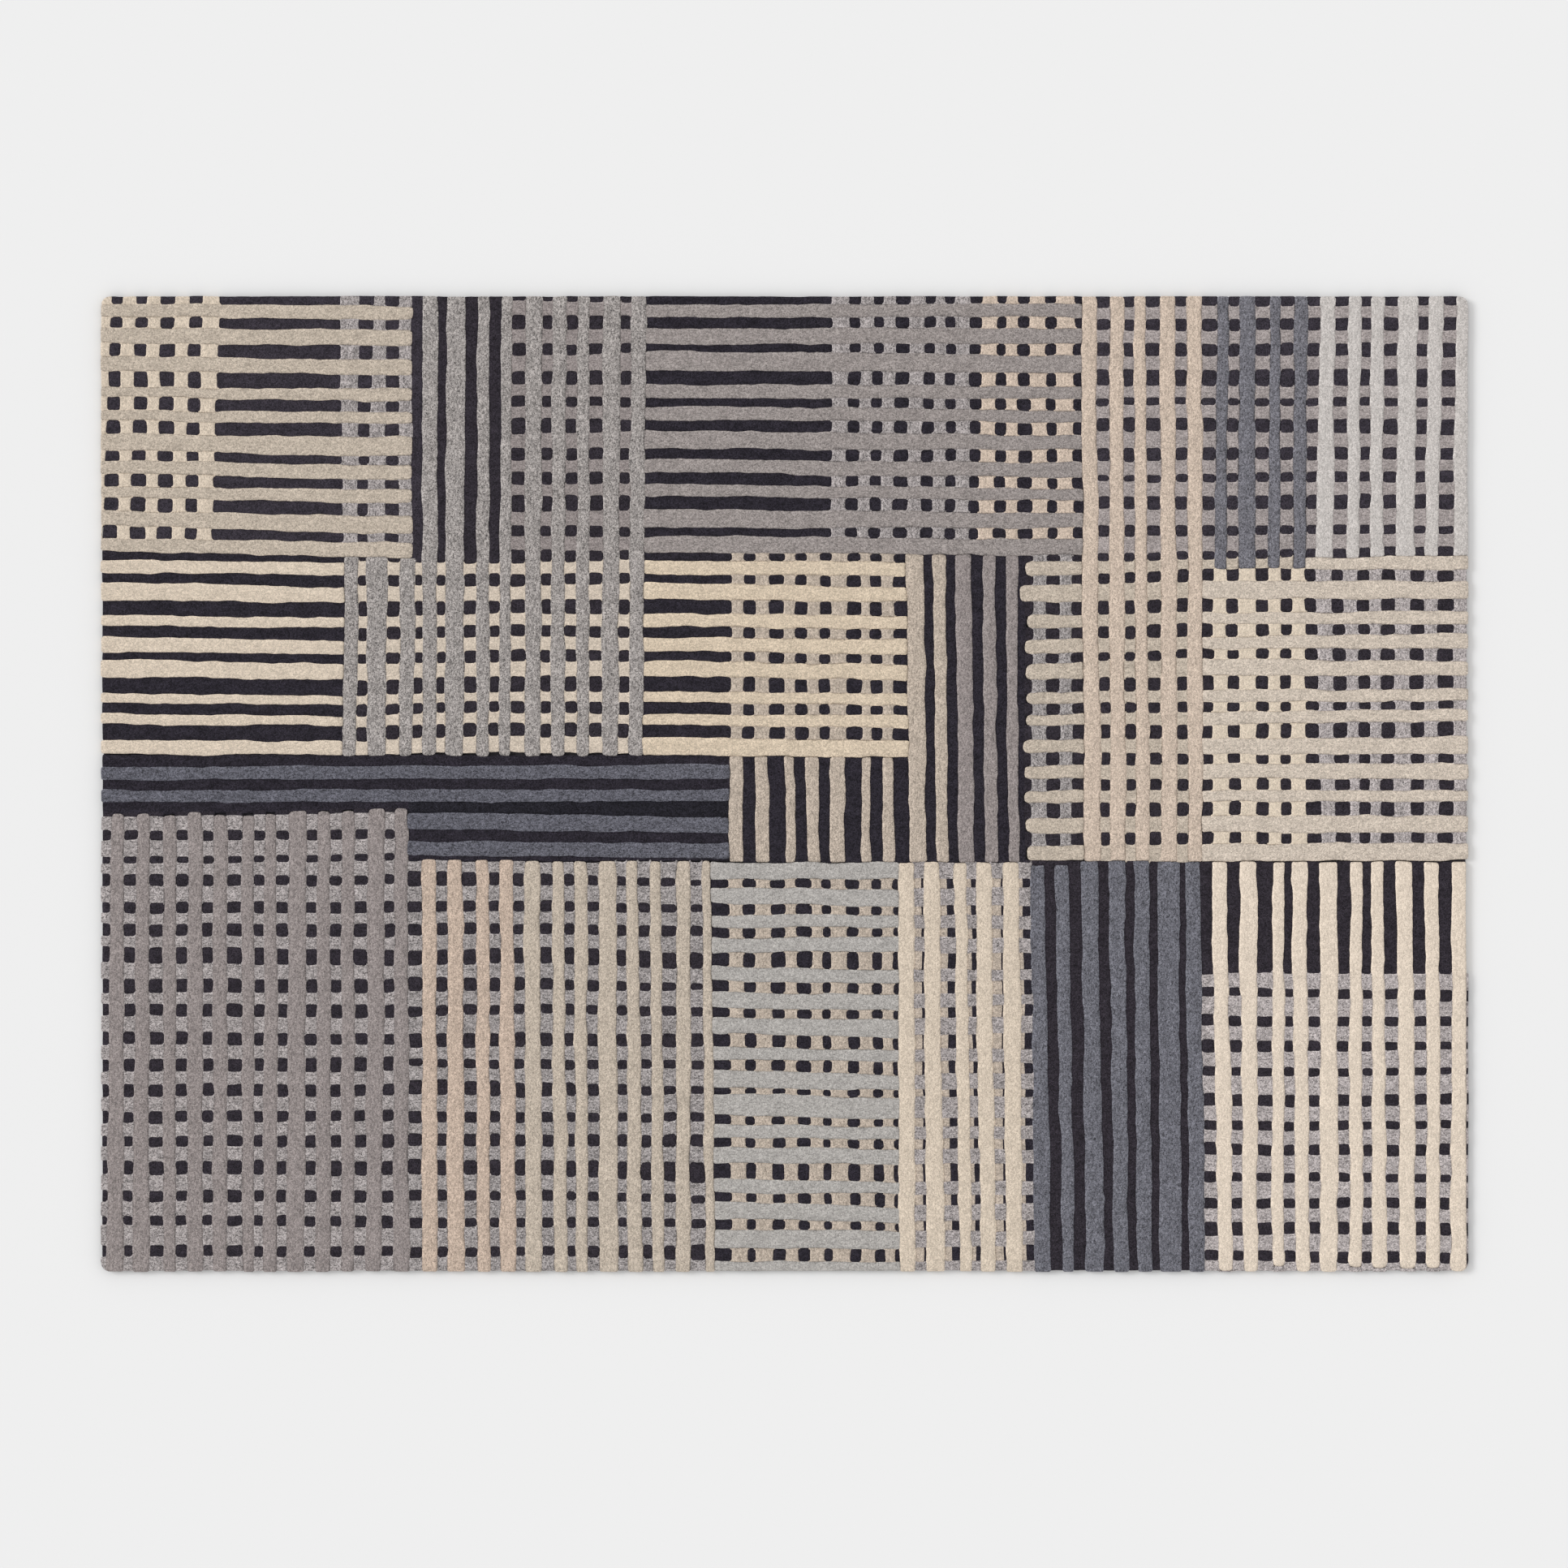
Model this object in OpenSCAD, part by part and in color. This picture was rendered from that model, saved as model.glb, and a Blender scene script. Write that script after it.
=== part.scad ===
// Hand-tufted wool area rug with an overlapping ribbon pattern.
// Ribbons of cut pile run along both directions on a charcoal ground. Where two groups cross, one
// group is tufted right through (over) and the other shows only in the gaps between (under).
// Everything stands on a tufting cloth, which is coated with latex and backed with a second cloth.
//
// Millimetres. +X runs along the rug's long side, +Y across it, +Z up out of the pile.
// The origin is at the centre of the rug on the floor.
//
// A lane is a ribbon seen from above: [low edge, high edge]. An edge is a list of
// [station, position] pairs: how far across it lies at each station along its run.
// A column runs along Y and a row runs along X.

/* [Size] */
// Length of the rug along X
rug_length = 2400; // [1200:10:3600]
// Width of the rug along Y
rug_width = 1712; // [850:1:2600]
// How far the backing stays inside the pile's outline
backing_inset = 4; // [0:0.5:12]
// Radius of the backing's corners
corner_radius = 16; // [2:1:40]

/* [Backing] */
// Thickness of the woven backing cloth and of the edge tape beside it
cloth_thickness = 1.2; // [0.6:0.1:3]
// Width of the edge tape
tape_width = 42; // [20:1:80]
// Thickness of the latex coat
latex_thickness = 1.2; // [0.5:0.1:3]
// Thickness of the tufting cloth
tufting_thickness = 0.8; // [0.4:0.1:2]

/* [Pile] */
// Pile height of the charcoal ground
ground_pile = 9.5; // [4:0.5:20]
// Pile height of the ribbons that pass under
under_pile = 11; // [4:0.5:20]
// Pile height of the ribbons that pass over
over_pile = 12.5; // [4:0.5:20]
// How far the ground stays back from the left, right and bottom edges
ground_setback = 2.5; // [0:0.5:10]
// Corner cut at a ribbon's ends
end_cut = 5; // [0:0.5:8]

/* [Show] */
// Which sub-part to draw

/* [Hidden] */

// Every sub-part by name

// Facets in each rounded corner
corner_steps = 6;

// Heights of the layers
latex_z = cloth_thickness;
tufting_z = latex_z + latex_thickness;
pile_z = tufting_z + tufting_thickness;

// Colours
charcoal = [0.16, 0.15, 0.18];
beige = [0.75, 0.69, 0.61];
cream = [0.86, 0.79, 0.69];
peach = [0.80, 0.70, 0.61];
pebble = [0.60, 0.60, 0.60];
mist = [0.70, 0.70, 0.69];
taupe = [0.58, 0.55, 0.53];
slate = [0.36, 0.38, 0.44];
silver = [0.74, 0.74, 0.73];
jute = [0.72, 0.66, 0.55];
latex = [0.90, 0.88, 0.82];
webbing = [0.80, 0.76, 0.68];

// ---- Where the ribbons lie ----
// Each line is one ribbon: its low and high edge at the first station, at the second, and so on.
// Rows are listed from the top edge down, columns from left to right, in millimetres from the
// rug's lower left corner.

// Beige rows in the top left corner, at 60 and 480
top_left_rows = [
    [1675, 1699, 1671, 1695],
    [1629, 1657, 1624, 1653],
    [1580, 1607, 1573, 1601],
    [1535, 1553, 1528, 1551],
    [1493, 1512, 1489, 1509],
    [1441, 1471, 1431, 1466],
    [1399, 1422, 1391, 1417],
    [1358, 1378, 1350, 1374],
    [1308, 1335, 1296, 1328],
    [1263, 1286, 1253, 1281]
];
// Cream columns under them, at 1290 and 1690
top_left_columns = [
    [0, 3, 0, 19],
    [28, 51, 37, 62],
    [77, 98, 81, 105],
    [124, 147, 130, 156],
    [166, 195, 178, 208]
];
// The first three grey columns where they pass under the beige rows, at 1290 and 1690
grey_under_columns = [
    [425, 451, 419, 453],
    [467, 500, 478, 500],
    [523, 548, 523, 546]
];
// The same three where they pass over the cream rows, at 925 and 1235
grey_short_columns = [
    [423, 448, 427, 453],
    [467, 500, 466, 503],
    [522, 547, 524, 552]
];
// The nine long grey columns, at 925 and 1690
grey_long_columns = [
    [564, 589, 565, 592],
    [603, 637, 607, 640],
    [658, 682, 661, 683],
    [698, 719, 703, 722],
    [744, 772, 745, 776],
    [789, 814, 793, 817],
    [834, 857, 836, 857],
    [879, 908, 881, 913],
    [926, 952, 931, 957]
];
// Taupe rows under the long grey columns, at 740 and 940
taupe_left_rows = [
    [1679, 1705, 1676, 1700],
    [1629, 1654, 1629, 1655],
    [1579, 1608, 1582, 1614],
    [1536, 1558, 1534, 1558],
    [1497, 1518, 1495, 1519],
    [1445, 1470, 1445, 1475],
    [1402, 1423, 1402, 1426],
    [1362, 1381, 1361, 1383],
    [1310, 1334, 1307, 1337],
    [1267, 1291, 1264, 1291]
];
// Taupe rows where they pass over, at 990 and 1590
taupe_rows = [
    [1675, 1698, 1675, 1700],
    [1628, 1656, 1628, 1657],
    [1581, 1617, 1577, 1610],
    [1533, 1558, 1532, 1555],
    [1494, 1520, 1491, 1514],
    [1444, 1478, 1442, 1470],
    [1402, 1427, 1394, 1422],
    [1360, 1383, 1354, 1376],
    [1305, 1339, 1305, 1334],
    [1262, 1292, 1258, 1288]
];
// Taupe rows under the peach, slate and silver columns, at 1757 and 2365
taupe_right_rows = [
    [1671, 1694, 1675, 1696],
    [1629, 1652, 1629, 1653],
    [1582, 1607, 1584, 1607],
    [1533, 1555, 1534, 1555],
    [1498, 1521, 1496, 1520],
    [1446, 1477, 1447, 1470],
    [1397, 1424, 1406, 1426],
    [1360, 1387, 1365, 1386],
    [1310, 1338, 1309, 1340],
    [1261, 1291, 1273, 1297]
];
// Mottled grey columns under the taupe rows, at 1280 and 1690
mist_top_columns = [
    [1282, 1305, 1284, 1314],
    [1328, 1347, 1335, 1357],
    [1368, 1388, 1375, 1396],
    [1415, 1437, 1421, 1447],
    [1458, 1482, 1466, 1482],
    [1500, 1523, 1500, 1525]
];
// Cream columns under the taupe rows, at 1280 and 1690
cream_top_columns = [
    [1541, 1565, 1547, 1573],
    [1588, 1608, 1590, 1610],
    [1636, 1661, 1631, 1658],
    [1679, 1705, 1677, 1708]
];
// Peach columns, at 740 and 1690
peach_columns = [
    [1725, 1756, 1721, 1747],
    [1772, 1800, 1769, 1795],
    [1816, 1841, 1813, 1834],
    [1861, 1890, 1858, 1885],
    [1908, 1934, 1905, 1933]
];
// Slate columns beside them, at 1280 and 1690
slate_top_columns = [
    [1953, 1977, 1958, 1981],
    [1994, 2027, 1998, 2027],
    [2047, 2070, 2051, 2071],
    [2090, 2116, 2093, 2118]
];
// Silver columns in the top right corner, at 1270 and 1690
silver_columns = [
    [2133, 2162, 2140, 2166],
    [2187, 2208, 2190, 2212],
    [2227, 2250, 2231, 2253],
    [2274, 2305, 2277, 2311],
    [2324, 2346, 2331, 2357],
    [2373, 2399, 2380, 2399]
];
// Cream rows on the left, over the bare ground, at 30 and 400
cream_left_rows = [
    [1226, 1250, 1222, 1246],
    [1177, 1211, 1174, 1203],
    [1133, 1153, 1130, 1149],
    [1086, 1114, 1084, 1108],
    [1043, 1075, 1038, 1067],
    [997, 1016, 994, 1011],
    [960, 981, 957, 976],
    [908, 935, 905, 931]
];
// The same rows under the grey columns, at 440, 700 and 940
cream_middle_rows = [
    [1221, 1247, 1225, 1243, 1226, 1250],
    [1175, 1204, 1178, 1204, 1181, 1209],
    [1130, 1149, 1135, 1156, 1132, 1155],
    [1084, 1108, 1091, 1116, 1091, 1114],
    [1038, 1067, 1045, 1071, 1045, 1072],
    [994, 1011, 1002, 1019, 999, 1018],
    [957, 976, 964, 983, 960, 978],
    [905, 932, 912, 942, 908, 937]
];
// The same rows to the right of the grey columns, at 980 and 1380
cream_right_rows = [
    [1223, 1250, 1221, 1247],
    [1180, 1210, 1175, 1201],
    [1132, 1156, 1126, 1152],
    [1089, 1114, 1082, 1111],
    [1044, 1073, 1038, 1067],
    [998, 1019, 993, 1015],
    [959, 978, 954, 978],
    [905, 938, 901, 934]
];
// Beige columns under those rows, at 945 and 1250
beige_under_columns = [
    [1106, 1128, 1107, 1129],
    [1147, 1174, 1149, 1173],
    [1200, 1219, 1199, 1219],
    [1241, 1262, 1238, 1262],
    [1278, 1307, 1282, 1312],
    [1336, 1352, 1334, 1351],
    [1371, 1391, 1370, 1392]
];
// The same columns below the cream rows, at 735 and 865
beige_short_columns = [
    [1102, 1128, 1102, 1127],
    [1149, 1173, 1147, 1171],
    [1203, 1220, 1200, 1219],
    [1240, 1263, 1236, 1260],
    [1281, 1308, 1281, 1306],
    [1335, 1352, 1335, 1351],
    [1373, 1394, 1372, 1392]
];
// Two beige columns and three taupe ones in the lane beside them, at 740 and 1235
lane_beige_columns = [
    [1420, 1449, 1412, 1445],
    [1467, 1487, 1461, 1483]
];
lane_taupe_columns = [
    [1506, 1533, 1499, 1527],
    [1552, 1575, 1547, 1569],
    [1593, 1611, 1587, 1608]
];
// Beige rows on the right, at 1655, 1940 and 2365
beige_right_rows = [
    [1222, 1247, 1233, 1250, 1231, 1258],
    [1175, 1206, 1181, 1212, 1180, 1213],
    [1128, 1153, 1137, 1157, 1135, 1160],
    [1084, 1109, 1092, 1115, 1093, 1121],
    [1040, 1068, 1045, 1077, 1046, 1072],
    [997, 1018, 999, 1021, 1001, 1024],
    [959, 979, 960, 984, 965, 987],
    [911, 935, 908, 937, 908, 940],
    [864, 889, 864, 891, 865, 893],
    [821, 844, 824, 845, 825, 846],
    [769, 796, 771, 801, 770, 801],
    [721, 747, 719, 752, 722, 753]
];
// Where each of those rows starts on the left
beige_right_starts = [1621, 1612, 1625, 1622, 1623, 1624, 1624, 1619, 1622, 1622, 1623, 1625];
// Two mottled columns under their left ends, at 740 and 1235
mist_stub_columns = [
    [1632, 1660, 1636, 1659],
    [1683, 1704, 1682, 1706]
];
// Cream columns under the beige rows, at 760 and 1222
cream_right_columns = [
    [1952, 1981, 1951, 1975],
    [2001, 2029, 1995, 2027],
    [2050, 2072, 2048, 2071],
    [2089, 2117, 2089, 2113]
];
// Mottled columns under the beige rows, at 760 and 1222
mist_right_columns = [
    [2142, 2168, 2132, 2161],
    [2194, 2210, 2180, 2206],
    [2228, 2248, 2227, 2248],
    [2270, 2301, 2271, 2298],
    [2323, 2349, 2322, 2346],
    [2374, 2398, 2374, 2398]
];
// Slate rows on the left, two long and two short, at 20 and 1040
slate_long_rows = [
    [863, 886, 865, 890],
    [824, 846, 825, 847]
];
slate_short_rows = [
    [777, 806, 769, 799],
    [731, 756, 726, 752]
];
// Taupe columns in the lower left corner, at 35 and 775
taupe_low_columns = [
    [10, 40, 17, 40],
    [55, 85, 62, 85],
    [110, 132, 108, 132],
    [151, 179, 152, 178],
    [196, 222, 197, 222],
    [248, 269, 246, 269],
    [285, 310, 287, 308],
    [326, 357, 329, 361],
    [376, 404, 380, 402],
    [422, 445, 422, 445],
    [465, 493, 468, 499],
    [513, 541, 515, 539]
];
// Where each of those columns ends at the top
taupe_low_tops = [803, 804, 802, 807, 802, 802, 804, 809, 808, 808, 812, 813];
// Mottled rows under the taupe columns, at 25 and 495
mist_left_rows = [
    [773, 799, 776, 806],
    [727, 757, 733, 760],
    [697, 716, 695, 722],
    [648, 677, 649, 679],
    [610, 630, 610, 630],
    [570, 590, 565, 587],
    [513, 543, 514, 538],
    [470, 490, 469, 491],
    [420, 450, 418, 446],
    [373, 399, 376, 399],
    [329, 352, 329, 352],
    [281, 308, 282, 309],
    [237, 261, 240, 265],
    [194, 221, 193, 218],
    [142, 172, 143, 169],
    [97, 124, 97, 121],
    [46, 83, 44, 78],
    [1, 27, 1, 27]
];
// Peach and beige columns at the bottom, at 35 and 690
low_columns = [
    [563, 591, 563, 589],
    [607, 640, 608, 635],
    [660, 685, 657, 681],
    [700, 729, 699, 724],
    [744, 774, 742, 771],
    [794, 820, 791, 813],
    [834, 856, 829, 854],
    [874, 909, 873, 905],
    [924, 952, 923, 944],
    [967, 990, 964, 984],
    [1009, 1036, 1009, 1035],
    [1060, 1078, 1054, 1071]
];
// How many of them are peach
peach_low_count = 4;
// Mottled rows under them, at 551, 780 and 1035
mist_middle_rows = [
    [702, 722, 699, 720, 689, 720],
    [649, 677, 651, 679, 645, 678],
    [610, 632, 611, 633, 606, 631],
    [562, 591, 570, 593, 559, 588],
    [516, 538, 515, 542, 504, 531],
    [465, 492, 471, 495, 464, 493],
    [417, 447, 420, 454, 417, 448],
    [372, 393, 372, 397, 371, 396],
    [336, 360, 332, 355, 325, 357],
    [280, 311, 281, 308, 279, 312],
    [242, 261, 242, 264, 240, 264],
    [196, 221, 196, 221, 191, 220],
    [143, 171, 143, 169, 134, 157],
    [95, 125, 96, 127, 93, 121],
    [42, 78, 45, 80, 47, 78],
    [1, 25, 1, 29, 1, 21]
];
// Silver rows at the bottom, at 1090, 1340 and 1590
silver_rows = [
    [688, 719, 687, 719, 690, 719],
    [646, 676, 640, 671, 642, 676],
    [604, 627, 602, 626, 601, 626],
    [559, 587, 560, 588, 559, 586],
    [510, 537, 505, 531, 510, 531],
    [462, 491, 458, 488, 466, 487],
    [417, 447, 411, 444, 417, 448],
    [371, 395, 368, 391, 368, 392],
    [321, 355, 320, 348, 320, 349],
    [274, 313, 269, 308, 270, 308],
    [235, 259, 231, 256, 232, 257],
    [189, 219, 187, 216, 189, 216],
    [138, 163, 135, 158, 134, 159],
    [93, 125, 86, 115, 90, 119],
    [41, 76, 39, 73, 45, 72],
    [1, 20, 1, 17, 1, 20]
];
// Beige columns under the silver rows, at 35 and 682
beige_low_columns = [
    [1107, 1135, 1101, 1125],
    [1149, 1180, 1148, 1176],
    [1200, 1225, 1201, 1220],
    [1244, 1270, 1248, 1266],
    [1282, 1315, 1280, 1307],
    [1333, 1360, 1329, 1352],
    [1376, 1394, 1369, 1390]
];
// Cream columns at the bottom, at 25 and 690
cream_low_columns = [
    [1402, 1429, 1400, 1426],
    [1450, 1480, 1445, 1471],
    [1508, 1527, 1499, 1520],
    [1545, 1569, 1537, 1562],
    [1590, 1618, 1584, 1610]
];
// Slate columns at the bottom, at 25 and 690
slate_low_columns = [
    [1640, 1667, 1632, 1657],
    [1688, 1709, 1676, 1698],
    [1729, 1761, 1722, 1750],
    [1779, 1804, 1769, 1797],
    [1820, 1845, 1813, 1840],
    [1859, 1897, 1856, 1893],
    [1911, 1938, 1904, 1930]
];
// Cream columns in the lower right corner, at 25 and 690
cream_corner_columns = [
    [1962, 1987, 1951, 1977],
    [2005, 2031, 1999, 2028],
    [2056, 2078, 2056, 2076],
    [2098, 2122, 2090, 2116],
    [2140, 2171, 2139, 2170],
    [2191, 2215, 2193, 2213],
    [2232, 2257, 2230, 2251],
    [2279, 2308, 2275, 2302],
    [2327, 2351, 2325, 2349],
    [2369, 2397, 2372, 2396]
];
// Where each of those columns ends at the bottom
cream_corner_bottoms = [2, 0, 9, 0, 0, 8, 6, 5, 6, 0];
// Mottled rows under them, at 1950, 2080 and 2365
mist_corner_rows = [
    [500, 523, 495, 524, 494, 523],
    [451, 484, 446, 482, 447, 475],
    [406, 431, 403, 430, 402, 431],
    [360, 385, 356, 386, 357, 390],
    [312, 345, 310, 343, 312, 346],
    [265, 292, 265, 290, 264, 293],
    [227, 251, 222, 249, 224, 252],
    [174, 205, 174, 205, 169, 204],
    [129, 158, 128, 159, 130, 157],
    [88, 112, 87, 113, 86, 111],
    [37, 64, 37, 67, 32, 63],
    [1, 21, 1, 18, 1, 14]
];

// ---- Working with edges, lanes and cells ----

// An edge that stays at one position
function flat(position) = [[0, position]];

// An edge's position at a station: straight between its pairs, and straight on past the last ones
function place(edge, station) =
    len(edge) == 1 ? edge[0][1] : place_on(edge, station, segment(edge, station, 0));
function segment(edge, station, k) =
    k >= len(edge) - 2 || station < edge[k + 1][0] ? k : segment(edge, station, k + 1);
function place_on(edge, station, k) =
    edge[k][1] + (station - edge[k][0]) * (edge[k + 1][1] - edge[k][1]) / (edge[k + 1][0] - edge[k][0]);

// Lanes from a list of ribbons and its stations
function edge_of(stations, ribbon, side) =
    [for (k = [0:len(stations) - 1]) [stations[k], ribbon[2 * k + side]]];
function lanes(stations, ribbons) =
    [for (ribbon = ribbons) [edge_of(stations, ribbon, 0), edge_of(stations, ribbon, 1)]];

// The same lanes in the other order, so that rows listed from the top come out from the bottom
function reversed(list) = [for (k = [len(list) - 1:-1:0]) list[k]];

// The gaps between lanes, lowest first
function between(list) =
    [for (k = [0:len(list) - 2]) [list[k][1], list[k + 1][0]]];

// Part of a lane's width, between two shares of it
function part_way(first, second, share) =
    [for (k = [0:len(first) - 1]) [first[k][0], first[k][1] * (1 - share) + second[k][1] * share]];
function part_of(lane, from, to) = [part_way(lane[0], lane[1], from), part_way(lane[0], lane[1], to)];

// Where a column's edge crosses a row's edge
function cross_at(column_edge, row_edge) =
    let (y0 = row_edge[0][1])
    let (x1 = place(column_edge, y0))
    let (y1 = place(row_edge, x1))
    let (x2 = place(column_edge, y1))
    [x2, place(row_edge, x2)];

// The four corners where a column and a row overlap, anticlockwise
function corners(column, row) = [
    cross_at(column[0], row[0]),
    cross_at(column[1], row[0]),
    cross_at(column[1], row[1]),
    cross_at(column[0], row[1])
];

// The same outline with each corner cut off
function cut_corners(points, cut) = [
    for (k = [0:3])
        for (step = [-1, 1])
            let (other = points[(k + step + 4) % 4])
            let (length = norm(other - points[k]))
            points[k] + (other - points[k]) * min(cut / length, 0.4)
];

// A block of pile where a column and a row overlap
module cell(column, row, pile) {
    translate([-rug_length / 2, -rug_width / 2, pile_z])
        linear_extrude(height = pile)
            polygon(corners(column, row));
}

// A ribbon that passes over: a cell with its end corners cut
module ribbon(column, row) {
    translate([-rug_length / 2, -rug_width / 2, pile_z])
        linear_extrude(height = over_pile)
            polygon(cut_corners(corners(column, row), end_cut));
}

// All the blocks where a list of columns meets a list of rows
module cells(columns, rows, pile) {
    for (column = columns)
        for (row = rows)
            cell(column, row, pile);
}

// Ribbons that pass over, between two ends
module over_columns(columns, low_end, high_end) {
    for (column = columns)
        ribbon(column, [low_end, high_end]);
}
module over_rows(rows, low_end, high_end) {
    for (row = rows)
        ribbon([low_end, high_end], row);
}

// A rectangle with rounded corners, as a list of points
function rounded(length, width, radius) = [
    for (corner = [0:3])
        let (x = (corner == 0 || corner == 3 ? 1 : -1) * (length / 2 - radius))
        let (y = (corner < 2 ? 1 : -1) * (width / 2 - radius))
        for (step = [0:corner_steps])
            let (angle = 90 * (corner + step / corner_steps))
            [x + radius * cos(angle), y + radius * sin(angle)]
];

// A flat sheet with rounded corners
module sheet(z, thickness) {
    translate([0, 0, z])
        linear_extrude(height = thickness)
            polygon(rounded(rug_length - 2 * backing_inset, rug_width - 2 * backing_inset,
                corner_radius));
}

// ---- Lanes used below ----

left_end = flat(0);
right_end = flat(rug_length);
bottom_end = flat(0);
top_end = flat(rug_width);
ground_left = flat(ground_setback);
ground_right = flat(rug_length - ground_setback);
ground_bottom = flat(ground_setback);

h_top_left = reversed(lanes([60, 480], top_left_rows));
v_top_left = lanes([1290, 1690], top_left_columns);
v_grey_under = lanes([1290, 1690], grey_under_columns);
v_grey_short = lanes([925, 1235], grey_short_columns);
v_grey_long = lanes([925, 1690], grey_long_columns);
h_taupe_left = reversed(lanes([740, 940], taupe_left_rows));
h_taupe = reversed(lanes([990, 1590], taupe_rows));
h_taupe_right = reversed(lanes([1757, 2365], taupe_right_rows));
v_mist_top = lanes([1280, 1690], mist_top_columns);
v_cream_top = lanes([1280, 1690], cream_top_columns);
v_peach = lanes([740, 1690], peach_columns);
v_slate_top = lanes([1280, 1690], slate_top_columns);
v_silver = lanes([1270, 1690], silver_columns);
h_cream_left = reversed(lanes([30, 400], cream_left_rows));
h_cream_middle = reversed(lanes([440, 700, 940], cream_middle_rows));
h_cream_right = reversed(lanes([980, 1380], cream_right_rows));
v_beige_under = lanes([945, 1250], beige_under_columns);
v_beige_short = lanes([735, 865], beige_short_columns);
v_lane_beige = lanes([740, 1235], lane_beige_columns);
v_lane_taupe = lanes([740, 1235], lane_taupe_columns);
h_beige_right = reversed(lanes([1655, 1940, 2365], beige_right_rows));
v_mist_stub = lanes([740, 1235], mist_stub_columns);
v_cream_right = lanes([760, 1222], cream_right_columns);
v_mist_right = lanes([760, 1222], mist_right_columns);
h_slate_long = reversed(lanes([20, 1040], slate_long_rows));
h_slate_short = reversed(lanes([560, 1040], slate_short_rows));
v_taupe_low = lanes([35, 775], taupe_low_columns);
h_mist_left = reversed(lanes([25, 495], mist_left_rows));
v_low = lanes([35, 690], low_columns);
h_mist_middle = reversed(lanes([551, 780, 1035], mist_middle_rows));
h_silver = reversed(lanes([1090, 1340], silver_rows));
h_silver_on = reversed(lanes([1090, 1340, 1590], silver_rows));
v_beige_low = lanes([35, 682], beige_low_columns);
v_cream_low = lanes([25, 690], cream_low_columns);
v_slate_low = lanes([25, 690], slate_low_columns);
v_cream_corner = lanes([25, 690], cream_corner_columns);
h_mist_corner = reversed(lanes([1950, 2080, 2365], mist_corner_rows));

// Neighbours that share gaps
v_top_left_all = concat(v_top_left, v_grey_under);
v_grey_all = concat(v_grey_short, v_grey_long);
v_top_middle_all = concat([v_grey_long[8]], v_mist_top, v_cream_top, [v_peach[0]]);
v_top_right_all = concat(v_peach, v_slate_top, v_silver);
v_lane_all = concat(v_lane_beige, v_lane_taupe);
v_right_all = concat([v_peach[4]], v_cream_right, v_mist_right);
v_low_right_all = concat([v_slate_low[6]], v_cream_corner);

// Where one part of the pattern ends and the next begins
grey_low_end = flat(905);
lane_low_end = flat(720);
low_top = flat(721);
slate_right_end = v_beige_short[0][0];
slate_low_edge = [[0, 805], [541, 814]];
taupe_last = h_taupe[0][0];
top_left_last = h_top_left[0][0];
corner_top = h_mist_corner[11][1];

// The five gaps right of the low cream columns. Their ground is beige on the left and charcoal on
// the right; these are the shares where the charcoal starts.
cream_low_gaps = concat(between(v_cream_low), [[v_cream_low[4][1], v_slate_low[0][0]]]);
charcoal_shares = [0.72, 0.48, 0.45, 0.78, 0.35];

// ---- Backing ----

module backing_cloth() {
    color(jute)
        translate([0, 0, cloth_thickness / 2])
            cube([
                rug_length - 2 * (backing_inset + tape_width),
                rug_width - 2 * (backing_inset + tape_width),
                cloth_thickness
            ], center = true);
}

// One side's edge tape, mitred at both ends; length and offset are of its outer edge
module edge_tape(length, offset, angle) {
    cut = corner_radius * 0.35;
    color(webbing)
        rotate([0, 0, angle])
            translate([0, offset, 0])
                linear_extrude(height = cloth_thickness)
                    polygon([
                        [-length / 2 + cut, 0],
                        [length / 2 - cut, 0],
                        [length / 2 - cut, -cut],
                        [length / 2 - tape_width, -tape_width],
                        [-length / 2 + tape_width, -tape_width],
                        [-length / 2 + cut, -cut]
                    ]);
}
module tape_top() {
    edge_tape(rug_length - 2 * backing_inset, rug_width / 2 - backing_inset, 0);
}
module tape_bottom() {
    edge_tape(rug_length - 2 * backing_inset, rug_width / 2 - backing_inset, 180);
}
module tape_left() {
    edge_tape(rug_width - 2 * backing_inset, rug_length / 2 - backing_inset, 90);
}
module tape_right() {
    edge_tape(rug_width - 2 * backing_inset, rug_length / 2 - backing_inset, -90);
}
module latex_coat() {
    color(latex)
        sheet(latex_z, latex_thickness);
}
module tufting_cloth() {
    color(jute)
        sheet(tufting_z, tufting_thickness);
}

// ---- Ribbons that pass over ----

module beige_rows_top_left() {
    color(beige)
        over_rows(h_top_left, left_end, flat(547));
}
module grey_columns() {
    color(pebble) {
        over_columns(v_grey_short, grey_low_end, top_left_last);
        over_columns(v_grey_long, grey_low_end, top_end);
    }
}
module taupe_rows_top() {
    color(taupe)
        over_rows(h_taupe, v_grey_long[8][1], v_peach[0][0]);
}
module peach_columns_right() {
    color(peach)
        over_columns(v_peach, flat(722), top_end);
}
module slate_columns_top() {
    color(slate)
        over_columns(v_slate_top, flat(1233), top_end);
}
module silver_columns_top() {
    color(silver)
        over_columns(v_silver, h_beige_right[11][1], top_end);
}
module cream_rows_left() {
    color(cream)
        over_rows(h_cream_left, left_end, v_grey_short[0][0]);
}
module cream_rows_middle() {
    color(cream)
        over_rows(h_cream_right, v_grey_long[8][1], v_lane_beige[0][0]);
}
module beige_columns_middle() {
    color(beige)
        over_columns(v_beige_short, lane_low_end, h_cream_right[0][0]);
}
module beige_columns_lane() {
    color(beige)
        over_columns(v_lane_beige, lane_low_end, taupe_last);
}
module taupe_columns_lane() {
    color(taupe)
        over_columns(v_lane_taupe, lane_low_end, taupe_last);
}
module beige_rows_stub() {
    color(beige)
        for (k = [0:11])
            ribbon([flat(beige_right_starts[11 - k]), v_peach[0][0]], h_beige_right[k]);
}
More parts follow.
